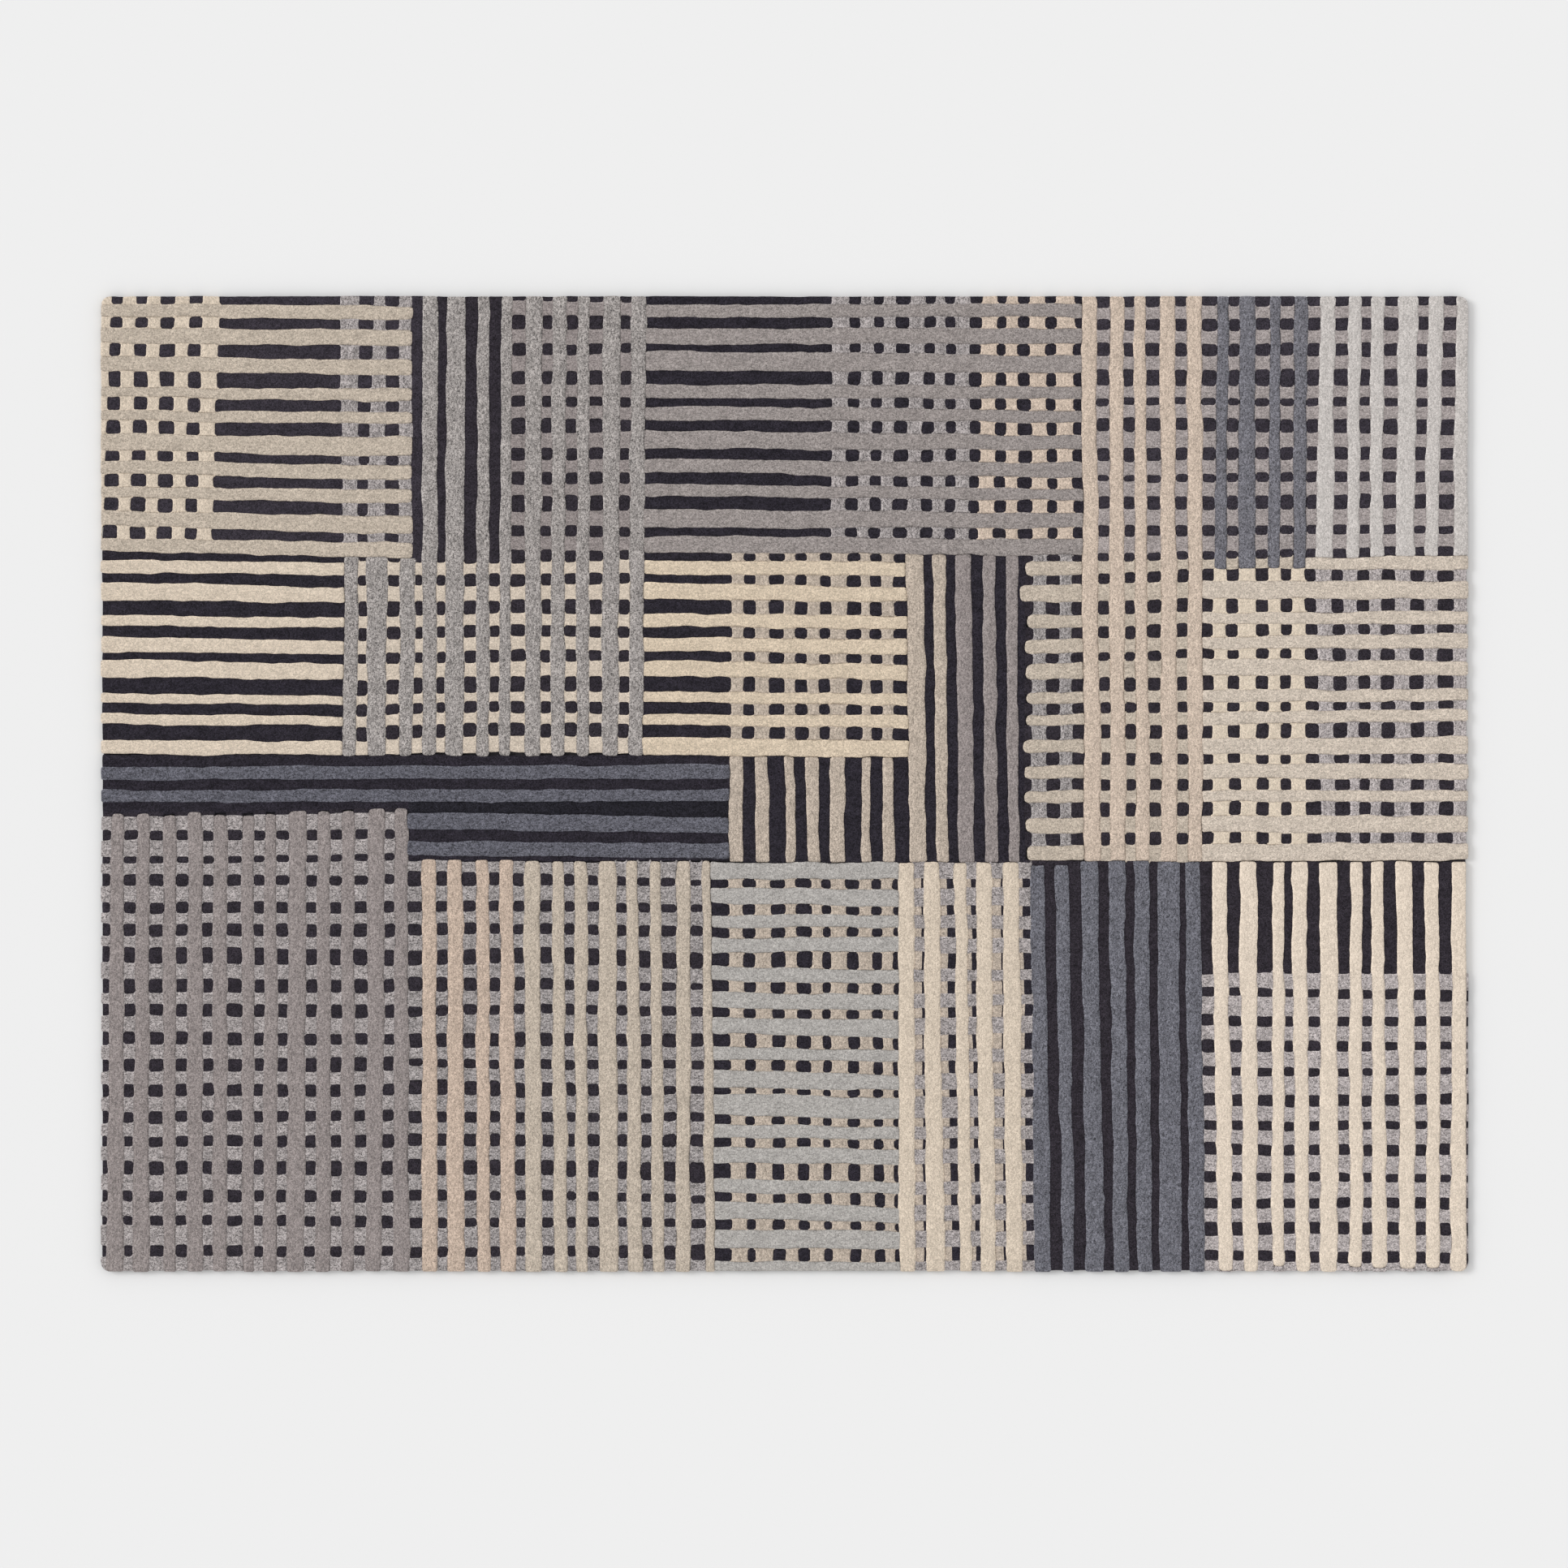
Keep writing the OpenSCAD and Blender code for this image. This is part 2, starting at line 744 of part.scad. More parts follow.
module beige_rows_right() {
    color(beige) {
        for (k = [0:10])
            ribbon([v_peach[4][1], right_end], h_beige_right[k]);
        ribbon([v_slate_top[3][1], right_end], h_beige_right[11]);
    }
}
module slate_rows_left() {
    color(slate) {
        over_rows(h_slate_long, left_end, slate_right_end);
        over_rows(h_slate_short, v_taupe_low[11][1], slate_right_end);
    }
}
module taupe_columns_low() {
    color(taupe)
        for (k = [0:11])
            ribbon(v_taupe_low[k], [bottom_end, flat(taupe_low_tops[k])]);
}
module peach_columns_low() {
    color(peach)
        for (k = [0:peach_low_count - 1])
            ribbon(v_low[k], [bottom_end, flat(723)]);
}
module beige_columns_low() {
    color(beige)
        for (k = [peach_low_count:11])
            ribbon(v_low[k], [bottom_end, low_top]);
}
module silver_rows_low() {
    color(silver)
        over_rows(h_silver, v_low[11][1], v_cream_low[0][0]);
}
module cream_columns_low() {
    color(cream)
        over_columns(v_cream_low, bottom_end, flat(718));
}
module slate_columns_low() {
    color(slate) {
        for (k = [0:1])
            ribbon(v_slate_low[k], [bottom_end, flat(712)]);
        for (k = [2:6])
            ribbon(v_slate_low[k], [bottom_end, flat(719)]);
    }
}
module cream_columns_corner() {
    color(cream)
        for (k = [0:9])
            ribbon(v_cream_corner[k], [flat(cream_corner_bottoms[k]), flat(718)]);
}

// ---- Ribbons that pass under, block by block ----

module cream_under_top_left() {
    color(cream)
        cells(v_top_left, concat(between(h_top_left), [[h_top_left[9][1], top_end]]), under_pile);
}
module grey_under_top_left() {
    color(pebble)
        cells(v_grey_under, concat(between(h_top_left), [[h_top_left[9][1], top_end]]), under_pile);
}
module taupe_under_grey() {
    color(taupe)
        for (k = [3:7])
            for (row = h_taupe_left)
                cell([v_grey_long[k][1], v_grey_long[k + 1][0]], row, under_pile);
}
module mist_under_top() {
    color(mist)
        cells(v_mist_top, concat(between(h_taupe), [[h_taupe[9][1], top_end]]), under_pile);
}
module cream_under_top() {
    color(cream)
        cells(v_cream_top, concat(between(h_taupe), [[h_taupe[9][1], top_end]]), under_pile);
}
module taupe_under_right() {
    color(taupe)
        cells(between(v_top_right_all), h_taupe_right, under_pile);
}
module cream_under_grey() {
    color(cream)
        cells(between(v_grey_all), h_cream_middle, under_pile);
}
module beige_under_middle() {
    color(beige)
        cells(v_beige_under, concat(between(h_cream_right), [[h_cream_right[7][1], taupe_last]]),
            under_pile);
}
module beige_under_right() {
    color(beige) {
        cells(between(v_peach), h_beige_right, under_pile);
        cells(concat([[v_peach[4][1], v_slate_top[0][0]]], between(v_slate_top)),
            [h_beige_right[11]], under_pile);
    }
}
module mist_under_stub() {
    color(mist)
        cells(v_mist_stub, concat(between(h_beige_right), [[h_beige_right[11][1], taupe_last]]),
            under_pile);
}
module cream_under_right() {
    color(cream)
        cells(v_cream_right, between(h_beige_right), under_pile);
}
module mist_under_right() {
    color(mist)
        cells(v_mist_right, between(h_beige_right), under_pile);
}
module mist_under_left() {
    color(mist)
        cells(concat([[left_end, v_taupe_low[0][0]]], between(v_taupe_low)), h_mist_left, under_pile);
}
module mist_under_middle() {
    color(mist)
        cells(concat([[v_taupe_low[11][1], v_low[0][0]]], between(v_low)), h_mist_middle, under_pile);
}
module beige_under_silver() {
    color(beige)
        cells(v_beige_low, between(h_silver), under_pile);
}
module mist_under_cream() {
    color(mist)
        cells(cream_low_gaps, h_silver_on, under_pile);
}
module mist_under_corner() {
    color(mist)
        cells(between(v_low_right_all), h_mist_corner, under_pile);
}
module mist_edge_corner() {
    color(mist) {
        for (k = [0, 2, 5, 6, 7, 8])
            cell(v_cream_corner[k], [bottom_end, flat(cream_corner_bottoms[k])], under_pile);
        cells([[v_cream_corner[9][1], right_end]], h_mist_corner, under_pile);
    }
}

// ---- Charcoal ground, block by block ----

module ground_top_left() {
    color(charcoal) {
        cells(between(v_top_left_all), concat(between(h_top_left), [[h_top_left[9][1], top_end]]),
            ground_pile);
        cell([flat(547), v_grey_long[0][0]], [h_cream_middle[7][1], top_end], ground_pile);
    }
}
module ground_grey_columns() {
    color(charcoal) {
        cells(between(v_grey_all), between(h_cream_middle), ground_pile);
        for (k = [0:1])
            cell([v_grey_short[k][1], v_grey_short[k + 1][0]], [h_cream_middle[7][1], top_left_last],
                ground_pile);
        for (k = [0:2])
            cell([v_grey_long[k][1], v_grey_long[k + 1][0]], [h_cream_middle[7][1], top_end],
                ground_pile);
        for (k = [3:7])
            for (row = concat([[h_cream_middle[7][1], h_taupe_left[0][0]]], between(h_taupe_left),
                    [[h_taupe_left[9][1], top_end]]))
                cell([v_grey_long[k][1], v_grey_long[k + 1][0]], row, ground_pile);
    }
}
module ground_top_middle() {
    color(charcoal)
        cells(between(v_top_middle_all), concat(between(h_taupe), [[h_taupe[9][1], top_end]]),
            ground_pile);
}
module ground_top_right() {
    color(charcoal)
        cells(between(v_top_right_all), concat([[h_beige_right[11][1], h_taupe_right[0][0]]],
            between(h_taupe_right), [[h_taupe_right[9][1], top_end]]), ground_pile);
}
module ground_left_rows() {
    color(charcoal) {
        cells([[ground_left, v_grey_short[0][0]]], concat(between(h_cream_left),
            [[h_cream_left[7][1], top_left_last]]), ground_pile);
        cell([ground_left, slate_right_end], [h_slate_long[1][1], flat(904)], ground_pile);
        cell([ground_left, slate_right_end], [h_slate_long[0][1], h_slate_long[1][0]], ground_pile);
        cell([ground_left, v_taupe_low[11][1]], [slate_low_edge, h_slate_long[0][0]], ground_pile);
        cell([v_taupe_low[11][1], slate_right_end], [h_slate_short[0][1], h_slate_short[1][0]],
            ground_pile);
        cell([v_taupe_low[11][1], slate_right_end], [flat(723), h_slate_short[0][0]], ground_pile);
    }
}
module ground_slate_step() {
    color(charcoal)
        cell([v_taupe_low[11][1], slate_right_end], [h_slate_short[1][1], h_slate_long[0][0]],
            ground_pile);
}
module ground_cream_right() {
    color(charcoal)
        cells(concat([[v_grey_long[8][1], v_beige_under[0][0]]], between(v_beige_under),
            [[v_beige_under[6][1], v_lane_beige[0][0]]]),
            concat(between(h_cream_right), [[h_cream_right[7][1], taupe_last]]), ground_pile);
}
module ground_lane() {
    color(charcoal) {
        cells(concat(between(v_beige_short), [[v_beige_short[6][1], v_lane_beige[0][0]]]),
            [[lane_low_end, h_cream_right[0][0]]], ground_pile);
        cells(concat(between(v_lane_all), [[v_lane_all[4][1], flat(1621)]]),
            [[lane_low_end, taupe_last]], ground_pile);
    }
}
module ground_right() {
    color(charcoal) {
        cells([[flat(1622), v_mist_stub[0][0]], [v_mist_stub[0][1], v_mist_stub[1][0]],
            [v_mist_stub[1][1], v_peach[0][0]]], concat(between(h_beige_right),
            [[h_beige_right[11][1], taupe_last]]), ground_pile);
        cell([flat(1622), v_slate_low[1][1]], [flat(713), h_beige_right[0][0]], ground_pile);
        cells(between(v_peach), between(h_beige_right), ground_pile);
        cells(between(v_right_all), between(h_beige_right), ground_pile);
    }
}
module ground_low_columns() {
    color(charcoal) {
        cells(concat([[ground_left, v_taupe_low[0][0]]], between(v_taupe_low)),
            concat(between(h_mist_left), [[h_mist_left[17][1], slate_low_edge]]), ground_pile);
        cells(concat([[v_taupe_low[11][1], v_low[0][0]]], between(v_low)), between(h_mist_middle),
            ground_pile);
    }
}
module ground_silver() {
    color(charcoal)
        cells(concat([[v_low[11][1], v_beige_low[0][0]]], between(v_beige_low),
            [[v_beige_low[6][1], v_cream_low[0][0]]]), between(h_silver), ground_pile);
}
module ground_cream_low() {
    color(charcoal)
        for (k = [0:4])
            cells([part_of(cream_low_gaps[k], charcoal_shares[k], 1)], between(h_silver_on),
                ground_pile);
}
module beige_ground_low() {
    color(beige)
        for (k = [0:4])
            cells([part_of(cream_low_gaps[k], 0, charcoal_shares[k])], between(h_silver_on),
                ground_pile);
}
module ground_corner() {
    color(charcoal) {
        cell([v_slate_low[0][1], v_slate_low[1][0]], [ground_bottom, flat(711)], ground_pile);
        for (k = [1:5])
            cell([v_slate_low[k][1], v_slate_low[k + 1][0]], [ground_bottom, flat(718)], ground_pile);
        cells(between(v_low_right_all), between(h_mist_corner), ground_pile);
        cells(between(v_low_right_all), [[corner_top, flat(718)]], ground_pile);
        cells([[v_cream_corner[9][1], right_end]], between(h_mist_corner), ground_pile);
    }
}

backing_cloth();
tape_top();
tape_bottom();
tape_left();
tape_right();
latex_coat();
tufting_cloth();
beige_rows_top_left();
grey_columns();
taupe_rows_top();
peach_columns_right();
slate_columns_top();
silver_columns_top();
cream_rows_left();
cream_rows_middle();
beige_columns_middle();
beige_columns_lane();
taupe_columns_lane();
beige_rows_stub();
beige_rows_right();
slate_rows_left();
taupe_columns_low();
peach_columns_low();
beige_columns_low();
silver_rows_low();
cream_columns_low();
slate_columns_low();
cream_columns_corner();
cream_under_top_left();
grey_under_top_left();
taupe_under_grey();
mist_under_top();
cream_under_top();
taupe_under_right();
cream_under_grey();
beige_under_middle();
beige_under_right();
mist_under_stub();
cream_under_right();
mist_under_right();
mist_under_left();
mist_under_middle();
beige_under_silver();
mist_under_cream();
mist_under_corner();
mist_edge_corner();
ground_top_left();
ground_grey_columns();
ground_top_middle();
ground_top_right();
ground_left_rows();
ground_slate_step();
ground_cream_right();
ground_lane();
ground_right();
ground_low_columns();
ground_silver();
ground_cream_low();
beige_ground_low();
ground_corner();
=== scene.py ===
# Hand-tufted wool area rug with an overlapping ribbon pattern.
# Every CAD node of pile is replaced by a detailed piece that is grown from its blocks: each block
# becomes a crowned, round-edged patch of cut pile. The backing gets its own detailed pieces.
# Lengths are in metres; names ending in _mm are millimetres.
import math

import bpy
import numpy as np
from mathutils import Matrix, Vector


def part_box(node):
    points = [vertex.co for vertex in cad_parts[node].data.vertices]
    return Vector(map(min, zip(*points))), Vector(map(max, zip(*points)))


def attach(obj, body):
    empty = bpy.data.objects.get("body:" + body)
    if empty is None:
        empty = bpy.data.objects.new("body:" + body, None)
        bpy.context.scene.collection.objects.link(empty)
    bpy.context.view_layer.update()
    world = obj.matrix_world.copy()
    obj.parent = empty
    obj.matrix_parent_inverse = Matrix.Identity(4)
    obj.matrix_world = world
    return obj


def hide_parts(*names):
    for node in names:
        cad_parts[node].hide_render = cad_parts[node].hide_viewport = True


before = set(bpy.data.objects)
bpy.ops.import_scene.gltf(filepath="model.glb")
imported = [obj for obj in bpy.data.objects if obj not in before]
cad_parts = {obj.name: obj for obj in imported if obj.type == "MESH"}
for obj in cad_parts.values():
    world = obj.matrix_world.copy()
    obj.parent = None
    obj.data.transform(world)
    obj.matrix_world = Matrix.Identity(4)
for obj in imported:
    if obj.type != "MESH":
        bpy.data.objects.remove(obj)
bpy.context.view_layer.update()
MM = 0.001
# The rug's outline and the radius of its corners, in millimetres
LENGTH_MM = 2400
WIDTH_MM = 1712
HALF_X = LENGTH_MM / 2
HALF_Y = WIDTH_MM / 2
CORNER = 17.0

# ---------------------------------------------------------------------------------------------
# Palette: sRGB colours of the dyed yarns and of the backing
# ---------------------------------------------------------------------------------------------
YARNS = {
    # name: (colour, contrast between its fibres)
    "charcoal": ("27242B", 0.85),
    "charcoal_soft": ("322E35", 0.75),
    "charcoal_mid": ("2C282E", 0.80),
    "charcoal_deep": ("201F25", 0.90),
    "beige": ("C4B7A8", 0.34),
    "beige_grey": ("BFB1A3", 0.38),
    "oat": ("D1C4B6", 0.32),
    "cream": ("DECFBC", 0.24),
    "cream_pale": ("E4D5C4", 0.22),
    "cream_deep": ("D9CAB8", 0.26),
    "cream_gold": ("D8C7B1", 0.28),
    "cream_soft": ("D4C6B6", 0.26),
    "peach": ("D0BEAE", 0.34),
    "peach_deep": ("C8B4A4", 0.36),
    "pebble": ("A39D9A", 0.62),
    "mist": ("A69F9E", 0.62),
    "mist_pale": ("B3ABAA", 0.56),
    "mist_deep": ("A09A99", 0.64),
    "taupe": ("9C9491", 0.42),
    "taupe_deep": ("978E8C", 0.42),
    "taupe_pale": ("A69D9B", 0.42),
    "slate": ("6F6F77", 0.60),
    "slate_deep": ("64646D", 0.62),
    "slate_pale": ("76757C", 0.58),
    "silver": ("CBC5C1", 0.28),
    "silver_deep": ("B2AEAA", 0.34),
}
# The lamps are a little brighter than white paper would be, so the dyes are a little deeper
DYE = 0.905
# Painted light: how much lighter a ribbon is painted along its edge (a painted highlight), and how much
# darker along a seam (painted shade)
PAINTED_EDGE_HIGHLIGHT = 0.30
PAINTED_SEAM_SHADE = 0.30


def linear(code):
    """Linear RGBA of a hex sRGB colour."""
    out = []
    for k in (0, 2, 4):
        c = int(code[k : k + 2], 16) / 255
        out.append(DYE * (c / 12.92 if c <= 0.04045 else ((c + 0.055) / 1.055) ** 2.4))
    return (*out, 1.0)


# The yarn of each pile node. A ground that isn't listed is plain charcoal.
PILE = {
    "beige_rows_top_left": "beige",
    "grey_columns": "pebble",
    "taupe_rows_top": "taupe",
    "peach_columns_right": "peach",
    "slate_columns_top": "slate_pale",
    "silver_columns_top": "silver",
    "cream_rows_left": "cream_deep",
    "cream_rows_middle": "cream_gold",
    "beige_columns_middle": "beige_grey",
    "beige_columns_lane": "beige_grey",
    "taupe_columns_lane": "taupe_deep",
    "beige_rows_stub": "beige",
    "beige_rows_right": "oat",
    "slate_rows_left": "slate_deep",
    "taupe_columns_low": "taupe_deep",
    "peach_columns_low": "peach_deep",
    "beige_columns_low": "beige",
    "silver_rows_low": "silver_deep",
    "cream_columns_low": "cream_deep",
    "slate_columns_low": "slate",
    "cream_columns_corner": "cream_pale",
    "cream_under_top_left": "cream_deep",
    "grey_under_top_left": "mist",
    "taupe_under_grey": "taupe_deep",
    "mist_under_top": "mist",
    "cream_under_top": "peach",
    "taupe_under_right": "taupe_pale",
    "cream_under_grey": "cream_soft",
    "beige_under_middle": "beige_grey",
    "beige_under_right": "beige",
    "mist_under_stub": "mist_deep",
    "cream_under_right": "cream",
    "mist_under_right": "mist_pale",
    "mist_under_left": "mist",
    "mist_under_middle": "mist_deep",
    "beige_under_silver": "beige_grey",
    "mist_under_cream": "mist",
    "mist_under_corner": "mist_pale",
    "mist_edge_corner": "mist_pale",
    "beige_ground_low": "beige_grey",
    # the ground is charcoal, from more than one dye lot
    "ground_top_left": "charcoal_soft",
    "ground_top_right": "charcoal_soft",
    "ground_right": "charcoal_mid",
    "ground_corner": "charcoal_mid",
    "ground_grey_columns": "charcoal_mid",
    "ground_low_columns": "charcoal_mid",
    "ground_slate_step": "charcoal_deep",
}
# The plan radius of each area's first and last end: the left and right ends of rows, or the lower
# and upper ends of columns. Ends that meet another ribbon squarely have a small one.
ENDS = {
    "beige_rows_top_left": (3, 6),
    "grey_columns": (7, 1),
    "taupe_rows_top": (1, 1),
    "peach_columns_right": (1, 2),
    "slate_columns_top": (5, 2),
    "silver_columns_top": (2, 2),
    "cream_rows_left": (2, 1),
    "cream_rows_middle": (1, 2),
    "beige_columns_middle": (1, 1),
    "beige_columns_lane": (1, 1),
    "taupe_columns_lane": (1, 1),
    "beige_rows_stub": (9, 1),
    "beige_rows_right": (1, 3),
    "slate_rows_left": (2, 1),
    "taupe_columns_low": (2, 7),
    "peach_columns_low": (2, 4),
    "beige_columns_low": (2, 6),
    "silver_rows_low": (1, 1),
    "cream_columns_low": (2, 5),
    "slate_columns_low": (2, 1),
    "cream_columns_corner": (8, 1),
}
# Areas whose hidden ribbons run along X, under columns
ROWS_UNDER = (
    "taupe_under_grey",
    "taupe_under_right",
    "cream_under_grey",
    "beige_under_right",
    "mist_under_left",
    "mist_under_middle",
    "mist_under_cream",
    "mist_under_corner",
)

# ---------------------------------------------------------------------------------------------
# Smooth value noise, seeded
# ---------------------------------------------------------------------------------------------
# The noise covers this far each way from the rug's centre, in millimetres
FIELD_X = 1300
FIELD_Y = 950


def ease(s):
    """Goes from 0 to 1 with a level start and end."""
    return s * s * (3 - 2 * s)


def noise_field(seed, pitch_mm):
    """A function of x, y in millimetres that varies smoothly between -1 and 1 over pitch_mm."""
    columns = int(2 * FIELD_X / pitch_mm) + 6
    rows = int(2 * FIELD_Y / pitch_mm) + 6
    values = np.random.RandomState(seed).uniform(-1, 1, (columns, rows))

    def field(x, y):
        p = (x + FIELD_X) / pitch_mm
        q = (y + FIELD_Y) / pitch_mm
        i = np.clip(np.floor(p).astype(int), 0, columns - 2)
        j = np.clip(np.floor(q).astype(int), 0, rows - 2)
        s = ease(np.clip(p - i, 0, 1))
        t = ease(np.clip(q - j, 0, 1))
        low = values[i, j] * (1 - s) + values[i + 1, j] * s
        high = values[i, j + 1] * (1 - s) + values[i + 1, j + 1] * s
        return low * (1 - t) + high * t

    return field


drift_x = noise_field(11, 95)
drift_y = noise_field(12, 95)
wander_x = noise_field(13, 27)
wander_y = noise_field(14, 27)
ragged_x = noise_field(15, 7)
ragged_y = noise_field(16, 7)
swell = noise_field(17, 60)
tufts = noise_field(18, 5.2)

WAVE_COUNT = 32768
WAVES = np.random.RandomState(31).uniform(-1, 1, WAVE_COUNT)
# How far apart in that list two edges start, and two steps along one edge lie
EDGE_STRIDE = 7919
STEP_STRIDE = 13


def wave(key, along, pitch_mm):
    """A smooth wobble between -1 and 1 along one edge. key tells the edges apart."""
    p = along / pitch_mm + 3
    i = np.floor(p).astype(int)
    s = ease(p - i)
    start = key * EDGE_STRIDE + i * STEP_STRIDE
    return WAVES[start % WAVE_COUNT] * (1 - s) + WAVES[(start + STEP_STRIDE) % WAVE_COUNT] * s


def rounded(x, y, half_x, half_y, radius):
    """Draws the points outside a centred rectangle's round corners in to them."""
    ox = np.abs(x) - (half_x - radius)
    oy = np.abs(y) - (half_y - radius)
    reach = np.hypot(np.maximum(ox, 0), np.maximum(oy, 0))
    outside = (ox > 0) & (oy > 0) & (reach > radius)
    scale = np.where(outside, radius / np.maximum(reach, 1e-6), 1.0)
    return (
        np.where(outside, np.sign(x) * (half_x - radius + ox * scale), x),
        np.where(outside, np.sign(y) * (half_y - radius + oy * scale), y),
    )


def warp(x, y):
    """Where hand tufting puts a point: edges wander a little, less so near the outline."""
    inside = np.minimum(HALF_X - np.abs(x), HALF_Y - np.abs(y))
    free = np.clip(0.45 + inside / 60, 0.45, 1.0)
    wx = x + free * (1.2 * drift_x(x, y) + 1.2 * wander_x(x, y) + 0.5 * ragged_x(x, y))
    wy = y + free * (1.2 * drift_y(x, y) + 1.2 * wander_y(x, y) + 0.5 * ragged_y(x, y))
    return rounded(wx, wy, HALF_X, HALF_Y, CORNER)


# ---------------------------------------------------------------------------------------------
# The blocks of a CAD node
# ---------------------------------------------------------------------------------------------
def blocks_of(node):
    """Each solid of a CAD node as its four corners anticlockwise from the lower left, its low z and
    its high z, in millimetres."""
    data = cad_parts[node].data
    points = np.zeros(len(data.vertices) * 3, np.float32)
    data.vertices.foreach_get("co", points)
    points = points.reshape(-1, 3).astype(float) * 1000
    spots, index = np.unique(np.round(points, 2), axis=0, return_inverse=True)
    index = index.reshape(-1)
    parent = np.arange(len(spots))

    def root(k):
        while parent[k] != k:
            parent[k] = parent[parent[k]]
            k = parent[k]
        return k

    for face in data.polygons:
        first = root(index[face.vertices[0]])
        for v in face.vertices[1:]:
            parent[root(index[v])] = first
    groups = {}
    for k in range(len(spots)):
        groups.setdefault(root(k), []).append(k)
    found = []
    for members in groups.values():
        solid = spots[members]
        low, high = solid[:, 2].min(), solid[:, 2].max()
        ring = solid[solid[:, 2] > (low + high) / 2][:, :2]
        middle = ring.mean(axis=0)
        ring = ring[np.argsort(np.arctan2(ring[:, 1] - middle[1], ring[:, 0] - middle[0]))]
        found.append((corners_of(ring), low, high))
    found.sort(key=lambda b: (round(b[0][0][0], 2), round(b[0][0][1], 2)))
    return found


def corners_of(ring):
    """The four corners of a quad, or of a quad whose corners are cut off."""
    count = len(ring)
    if count == 8:
        sides = [(ring[k], ring[(k + 1) % 8]) for k in range(8)]
        lengths = [np.linalg.norm(b - a) for a, b in sides]
        kept = sides[0::2] if sum(lengths[0::2]) > sum(lengths[1::2]) else sides[1::2]
        ring = np.array([meeting(kept[k - 1], kept[k]) for k in range(4)])
    middle = ring.mean(axis=0)
    angles = np.arctan2(ring[:, 1] - middle[1], ring[:, 0] - middle[0])
    ring = ring[np.argsort(angles)]
    start = int(np.argmin(ring[:, 0] - middle[0] + ring[:, 1] - middle[1]))
    # the lower left corner is the one that a low side leaves and a left side reaches
    for k in range(4):
        a, b = ring[k], ring[(k + 1) % 4]
        along = b - a
        if along[0] > 0 and abs(along[0]) >= abs(along[1]) and (a[1] + b[1]) / 2 < middle[1]:
            start = k
    return np.roll(ring, -start, axis=0)


def meeting(first, second):
    """Where the lines through two sides meet."""
    p, r = first[0], first[1] - first[0]
    q, s = second[0], second[1] - second[0]
    cross = r[0] * s[1] - r[1] * s[0]
    t = ((q[0] - p[0]) * s[1] - (q[1] - p[1]) * s[0]) / cross
    return p + r * t


# ---------------------------------------------------------------------------------------------
# What lies where, on a grid of one millimetre
# ---------------------------------------------------------------------------------------------
GROUND, HIDDEN, TOP, OUTSIDE = range(4)
LEVEL_OF = {"ground": GROUND, "edge": HIDDEN, "under": HIDDEN, "over": TOP}


def kind_of(node):
    """What sort of pile a node holds, or None."""
    if node.startswith("ground_") or node == "beige_ground_low":
        return "ground"
    if node not in PILE:
        return None
    return "edge" if "_edge_" in node else "over" if node in ENDS else "under"


def level_map():
    """The level of every square millimetre, from the blocks of all the pile nodes."""
    levels = np.full((LENGTH_MM, WIDTH_MM), OUTSIDE, np.int8)
    for wanted, value in LEVEL_OF.items():
        for node in sorted(BLOCKS):
            if kind_of(node) != wanted:
                continue
            for corners, low, high in BLOCKS[node]:
                x0, y0 = np.maximum(np.floor(corners.min(axis=0) + (HALF_X, HALF_Y)).astype(int), 0)
                x1, y1 = np.ceil(corners.max(axis=0) + (HALF_X, HALF_Y)).astype(int)
                across, up = np.arange(x0, min(x1, LENGTH_MM)), np.arange(y0, min(y1, WIDTH_MM))
                px, py = np.meshgrid(across, up, indexing="ij")
                inside = np.ones(px.shape, bool)
                for k in range(4):
                    a, b = corners[k], corners[(k + 1) % 4]
                    rise = (b[0] - a[0]) * (py - (HALF_Y - 0.5) - a[1])
                    turn = rise - (b[1] - a[1]) * (px - (HALF_X - 0.5) - a[0])
                    inside &= turn > -1e-6
                part = levels[x0 : x0 + px.shape[0], y0 : y0 + px.shape[1]]
                part[inside] = value
    return levels


def level_at(x, y):
    """The level at a place, in millimetres from the rug's centre."""
    i = np.floor(x + HALF_X).astype(int)
    j = np.floor(y + HALF_Y).astype(int)
    outside = (i < 0) | (i >= LENGTH_MM) | (j < 0) | (j >= WIDTH_MM)
    return np.where(outside, OUTSIDE, LEVELS[np.clip(i, 0, LENGTH_MM - 1), np.clip(j, 0, WIDTH_MM - 1)])


# ---------------------------------------------------------------------------------------------
# One patch of cut pile
# ---------------------------------------------------------------------------------------------
# What a patch is: how far it reaches past its sides and ends, the radius and depth of its rounded
# edge, its swell, how much its sides wobble, and the radius of the corners beside its ends
SHAPES = {
    "over": dict(side=-0.2, end=-0.1, radius=3.8, depth=2.8, crown=0.5, wobble=(1.45, 0.5), fillet=0.0),
    "under": dict(side=-0.6, end=3.0, radius=3.2, depth=1.9, crown=0.4, wobble=(1.0, 0.6), fillet=3.8),
    "ground": dict(side=3.0, end=3.0, radius=3.4, depth=1.0, crown=0.3, wobble=(0.0, 0.0), fillet=0.0),
    "edge": dict(side=0.4, end=0.4, radius=3.0, depth=1.6, crown=0.0, wobble=(0.0, 0.0), fillet=0.0),
}
# The pitches of the slow and the fast wobble
WOBBLE_PITCHES = (58, 16)
# An end whose cap is no rounder than this meets another ribbon squarely and reaches this far into it
SQUARE_CAP = 2
SQUARE_REACH = 1.5
# A side this near to the outline is part of it
OUTLINE_BAND = 6
# Blocks with a side shorter than this are left out
LEAST_SIDE = 1.5
# Painted light at an edge beside the ground, a hidden ribbon, a top ribbon and the floor: a painted
# highlight where it stands free, painted shade along a seam. Beyond this width there is nothing of it.
PAINTED_RIM_LIGHT = {"over": np.array([1.0, -0.9, -0.7, 0.2]), "under": np.array([0.8, 0.0, 0.0, 0.2])}
PAINTED_RIM_WIDTH = 2.4
# How far past its edge a patch looks to see what lies beside it
LOOK_PAST = 3.5
